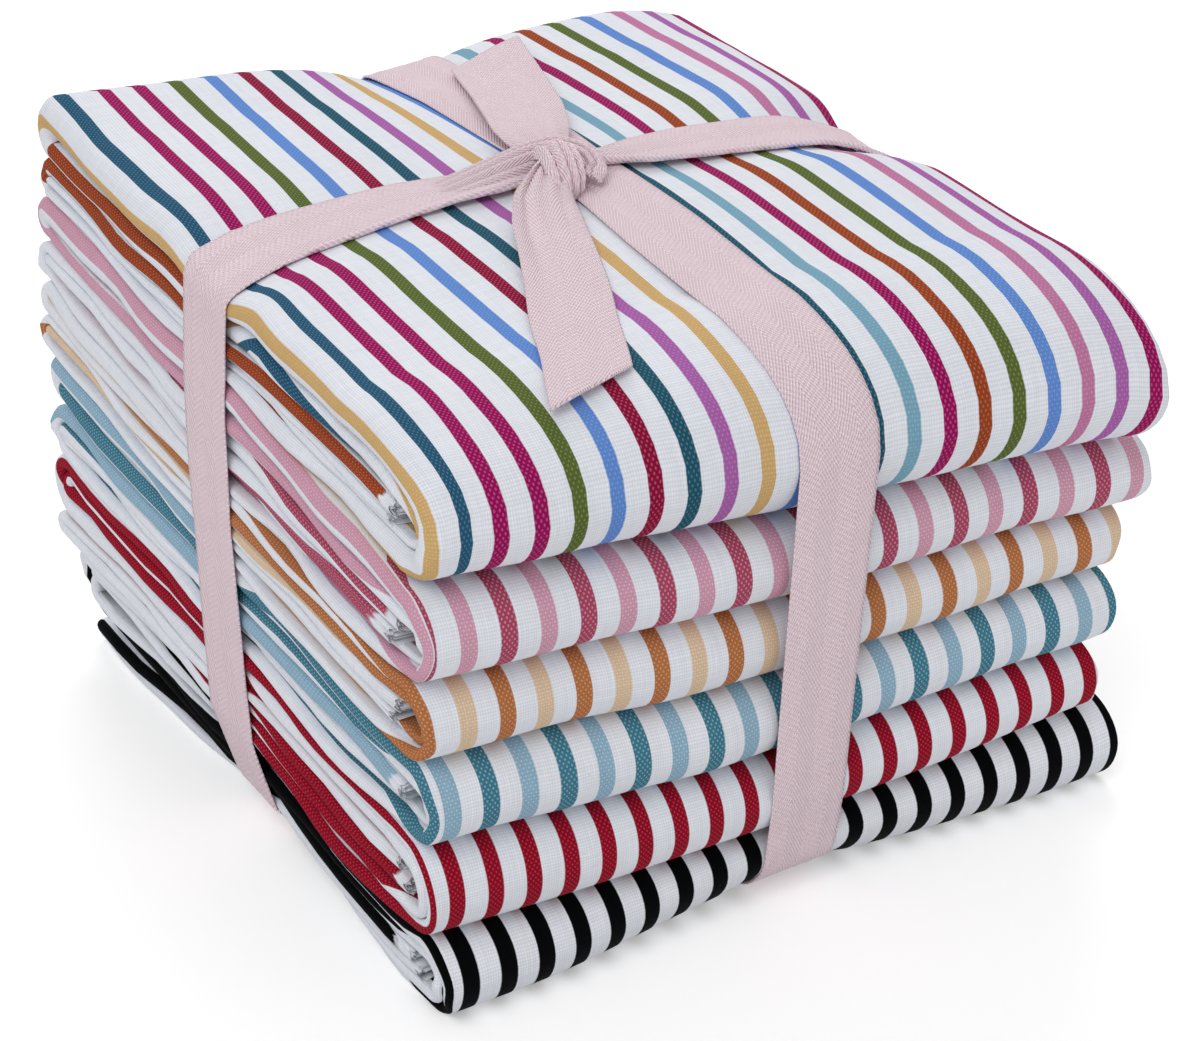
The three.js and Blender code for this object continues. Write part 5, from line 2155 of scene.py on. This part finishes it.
class Bundle:
    """The whole object: six folded cuts and their tie."""

    def __init__(self) -> None:
        """Finds where the stack's own axes start in the part."""
        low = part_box("cloth_black")[0]
        first = CUTS[0]
        self.origin = Vector((low[0] / MM - first.left, low[1] / MM - (first.front - first.front_bow), 0.0))
        LOG.info("stack starts at %s mm", tuple(round(value, 2) for value in self.origin))
        self.cotton = CottonFinish()
        self.tape = Tape()
        self.crown = Crown()

    def points_of(self, piece: bpy.types.Object) -> Array:
        """The points of a piece in the stack's own axes."""
        rows = np.empty(len(piece.data.vertices) * 3, dtype=np.float32)
        piece.data.vertices.foreach_get("co", rows)
        return rows.reshape(-1, 3) / MM - np.array(self.origin)

    def build(self) -> None:
        """Builds every piece."""
        surfaces = (Underside(), *BOUNDARIES, self.crown)
        pieces = []
        for plan, bottom, top in zip(CUTS, surfaces, surfaces[1:]):
            cut = FoldedCut(plan, bottom, top, self.cotton.material(plan.slot, plan.stripes))
            below = [pieces[-1].name] if pieces else []
            pieces.append(cut.build(self.origin, below))
            LOG.info("%s: %d faces", pieces[-1].name, len(pieces[-1].data.polygons))
        cloud = np.concatenate([self.points_of(piece) for piece in pieces])
        names = [piece.name for piece in pieces]
        tie_material = TapeFinish().material("tape")
        along, along_points = TapeRun(ALONG, self.tape, tie_material).build(cloud, self.origin, names)
        both = np.concatenate([cloud, along_points])
        TapeRun(ACROSS, self.tape, tie_material).build(both, self.origin, names)
        for ribbon in (TAIL_FRONT, TAIL_BACK, KNOT):
            ribbon.build(self.tape, tie_material, self.crown, self.origin, [names[-1], along.name])


# ---- Studio ----


@dataclass(frozen=True)
class CameraPlan:
    """Where the camera stands, in the part's own axes.

    Attributes:
        place: Where it stands.
        aim: What it looks at.
        lens: Its focal length.
        roll: How far it is turned about its line of sight, in degrees.
        sensor: Width of its picture, behind the lens.
        clip: Nearest and furthest distance that it sees, in metres.
    """

    place: tuple[float, float, float] = (-260.1, -421.65, 311.6)
    aim: tuple[float, float, float] = (7.3, 4.75, 39.2)
    lens: float = 90.2
    roll: float = 0.30
    sensor: float = 36.0
    clip: tuple[float, float] = (0.01, 20.0)

    def build(self) -> bpy.types.Object:
        """Makes the camera and sets it as the scene's.

        Returns:
            The camera.
        """
        data = bpy.data.cameras.new("camera")
        data.sensor_width = self.sensor
        data.lens = self.lens
        data.clip_start, data.clip_end = self.clip
        camera = bpy.data.objects.new("camera", data)
        place = Vector(self.place) * MM
        look = (Vector(self.aim) * MM - place).normalized()
        turn = look.to_track_quat("-Z", "Y").to_matrix().to_4x4()
        turn = turn @ Matrix.Rotation(math.radians(self.roll), 4, "Z")
        camera.matrix_world = Matrix.Translation(place) @ turn
        bpy.context.scene.collection.objects.link(camera)
        bpy.context.scene.camera = camera
        return camera


@dataclass(frozen=True)
class Lamp:
    """A soft square lamp that looks at the bundle.

    Attributes:
        name: Its name.
        place: Where it hangs, in metres.
        size: Its width, in metres.
        power: Its power, in watts.
        aim: What it looks at, in metres.
    """

    name: str
    place: tuple[float, float, float]
    size: float
    power: float
    aim: tuple[float, float, float] = (0.0, 0.0, 0.05)

    def build(self) -> None:
        """Adds the lamp to the scene."""
        data = bpy.data.lights.new(self.name, "AREA")
        data.shape = "SQUARE"
        data.size = self.size
        data.energy = self.power
        lamp = bpy.data.objects.new(self.name, data)
        lamp.location = self.place
        lamp.rotation_euler = (Vector(self.aim) - Vector(self.place)).to_track_quat("-Z", "Y").to_euler()
        bpy.context.scene.collection.objects.link(lamp)


@dataclass(frozen=True)
class Studio:
    """Floor, world and soft lamps.

    Attributes:
        floor_size: Width of the floor, in metres.
        floor_white: How light it is.
        floor_glow: How much lighter it looks to the camera.
        world_light: Strength of the even light from all round.
        lamps: The lamps.
    """

    floor_size: float = 6.0
    floor_white: float = 0.93
    floor_glow: float = 0.30
    world_light: float = 0.50
    lamps: tuple[Lamp, ...] = (
        Lamp("key", (-0.75, -0.55, 1.25), 0.9, 7.4),
        Lamp("fill", (0.35, -1.2, 0.55), 1.0, 0.8),
        Lamp("rear", (0.5, 0.9, 1.0), 0.9, 6.7),
    )

    def build(self) -> None:
        """Builds the studio."""
        bpy.context.scene.view_settings.view_transform = "Standard"
        self.world()
        self.floor()
        for lamp in self.lamps:
            lamp.build()

    def world(self) -> None:
        """Even soft light from all round, and plain white behind."""
        world = bpy.data.worlds.new("studio")
        bpy.context.scene.world = world
        world.use_nodes = True
        tree = world.node_tree
        tree.nodes.clear()
        output = tree.nodes.new("ShaderNodeOutputWorld")
        mixer = tree.nodes.new("ShaderNodeMixShader")
        tree.links.new(mixer.outputs[0], output.inputs["Surface"])
        for slot, strength in ((1, self.world_light), (2, 1.0)):
            light = tree.nodes.new("ShaderNodeBackground")
            light.inputs["Color"].default_value = self.grey(1.0)
            light.inputs["Strength"].default_value = strength
            tree.links.new(light.outputs[0], mixer.inputs[slot])
        tree.links.new(self.seen_directly(tree), mixer.inputs[0])

    @staticmethod
    def grey(value: float) -> tuple[float, float, float, float]:
        """A colour without a hue."""
        return (value, value, value, 1.0)

    @staticmethod
    def seen_directly(tree: bpy.types.NodeTree) -> Socket:
        """Tells what is seen from what lights the bundle.

        Args:
            tree: Where the nodes are added.

        Returns:
            1 for camera, glossy and transmission rays, and 0 for the rays that light the bundle.
        """
        path = tree.nodes.new("ShaderNodeLightPath")
        seen = path.outputs["Is Camera Ray"]
        for name in ("Is Glossy Ray", "Is Transmission Ray"):
            either = tree.nodes.new("ShaderNodeMath")
            either.operation = "MAXIMUM"
            tree.links.new(seen, either.inputs[0])
            tree.links.new(path.outputs[name], either.inputs[1])
            seen = either.outputs[0]
        return seen

    def floor(self) -> None:
        """A plain pale floor that takes the object's shadow."""
        half = self.floor_size / 2.0
        mesh = bpy.data.meshes.new("floor")
        corners = [(-half, -half, 0.0), (half, -half, 0.0), (half, half, 0.0), (-half, half, 0.0)]
        mesh.from_pydata(corners, [], [(0, 1, 2, 3)])
        material = bpy.data.materials.new("floor")
        material.use_nodes = True
        tree = material.node_tree
        shader = tree.nodes["Principled BSDF"]
        shader.inputs["Base Color"].default_value = self.grey(self.floor_white)
        shader.inputs["Roughness"].default_value = 0.9
        shader.inputs["Specular IOR Level"].default_value = 0.0
        shader.inputs["Emission Color"].default_value = self.grey(1.0)
        glow = tree.nodes.new("ShaderNodeMath")
        glow.operation = "MULTIPLY"
        glow.inputs[1].default_value = self.floor_glow
        tree.links.new(self.seen_directly(tree), glow.inputs[0])
        tree.links.new(glow.outputs[0], shader.inputs["Emission Strength"])
        mesh.materials.append(material)
        floor = bpy.data.objects.new("floor", mesh)
        bpy.context.scene.collection.objects.link(floor)


def main() -> None:
    """Builds the camera, the studio and the bundle in order."""
    logging.basicConfig(level=logging.INFO, format="%(name)s: %(message)s")
    CameraPlan().build()
    Studio().build()
    Bundle().build()


if __name__ == "__main__":
    main()
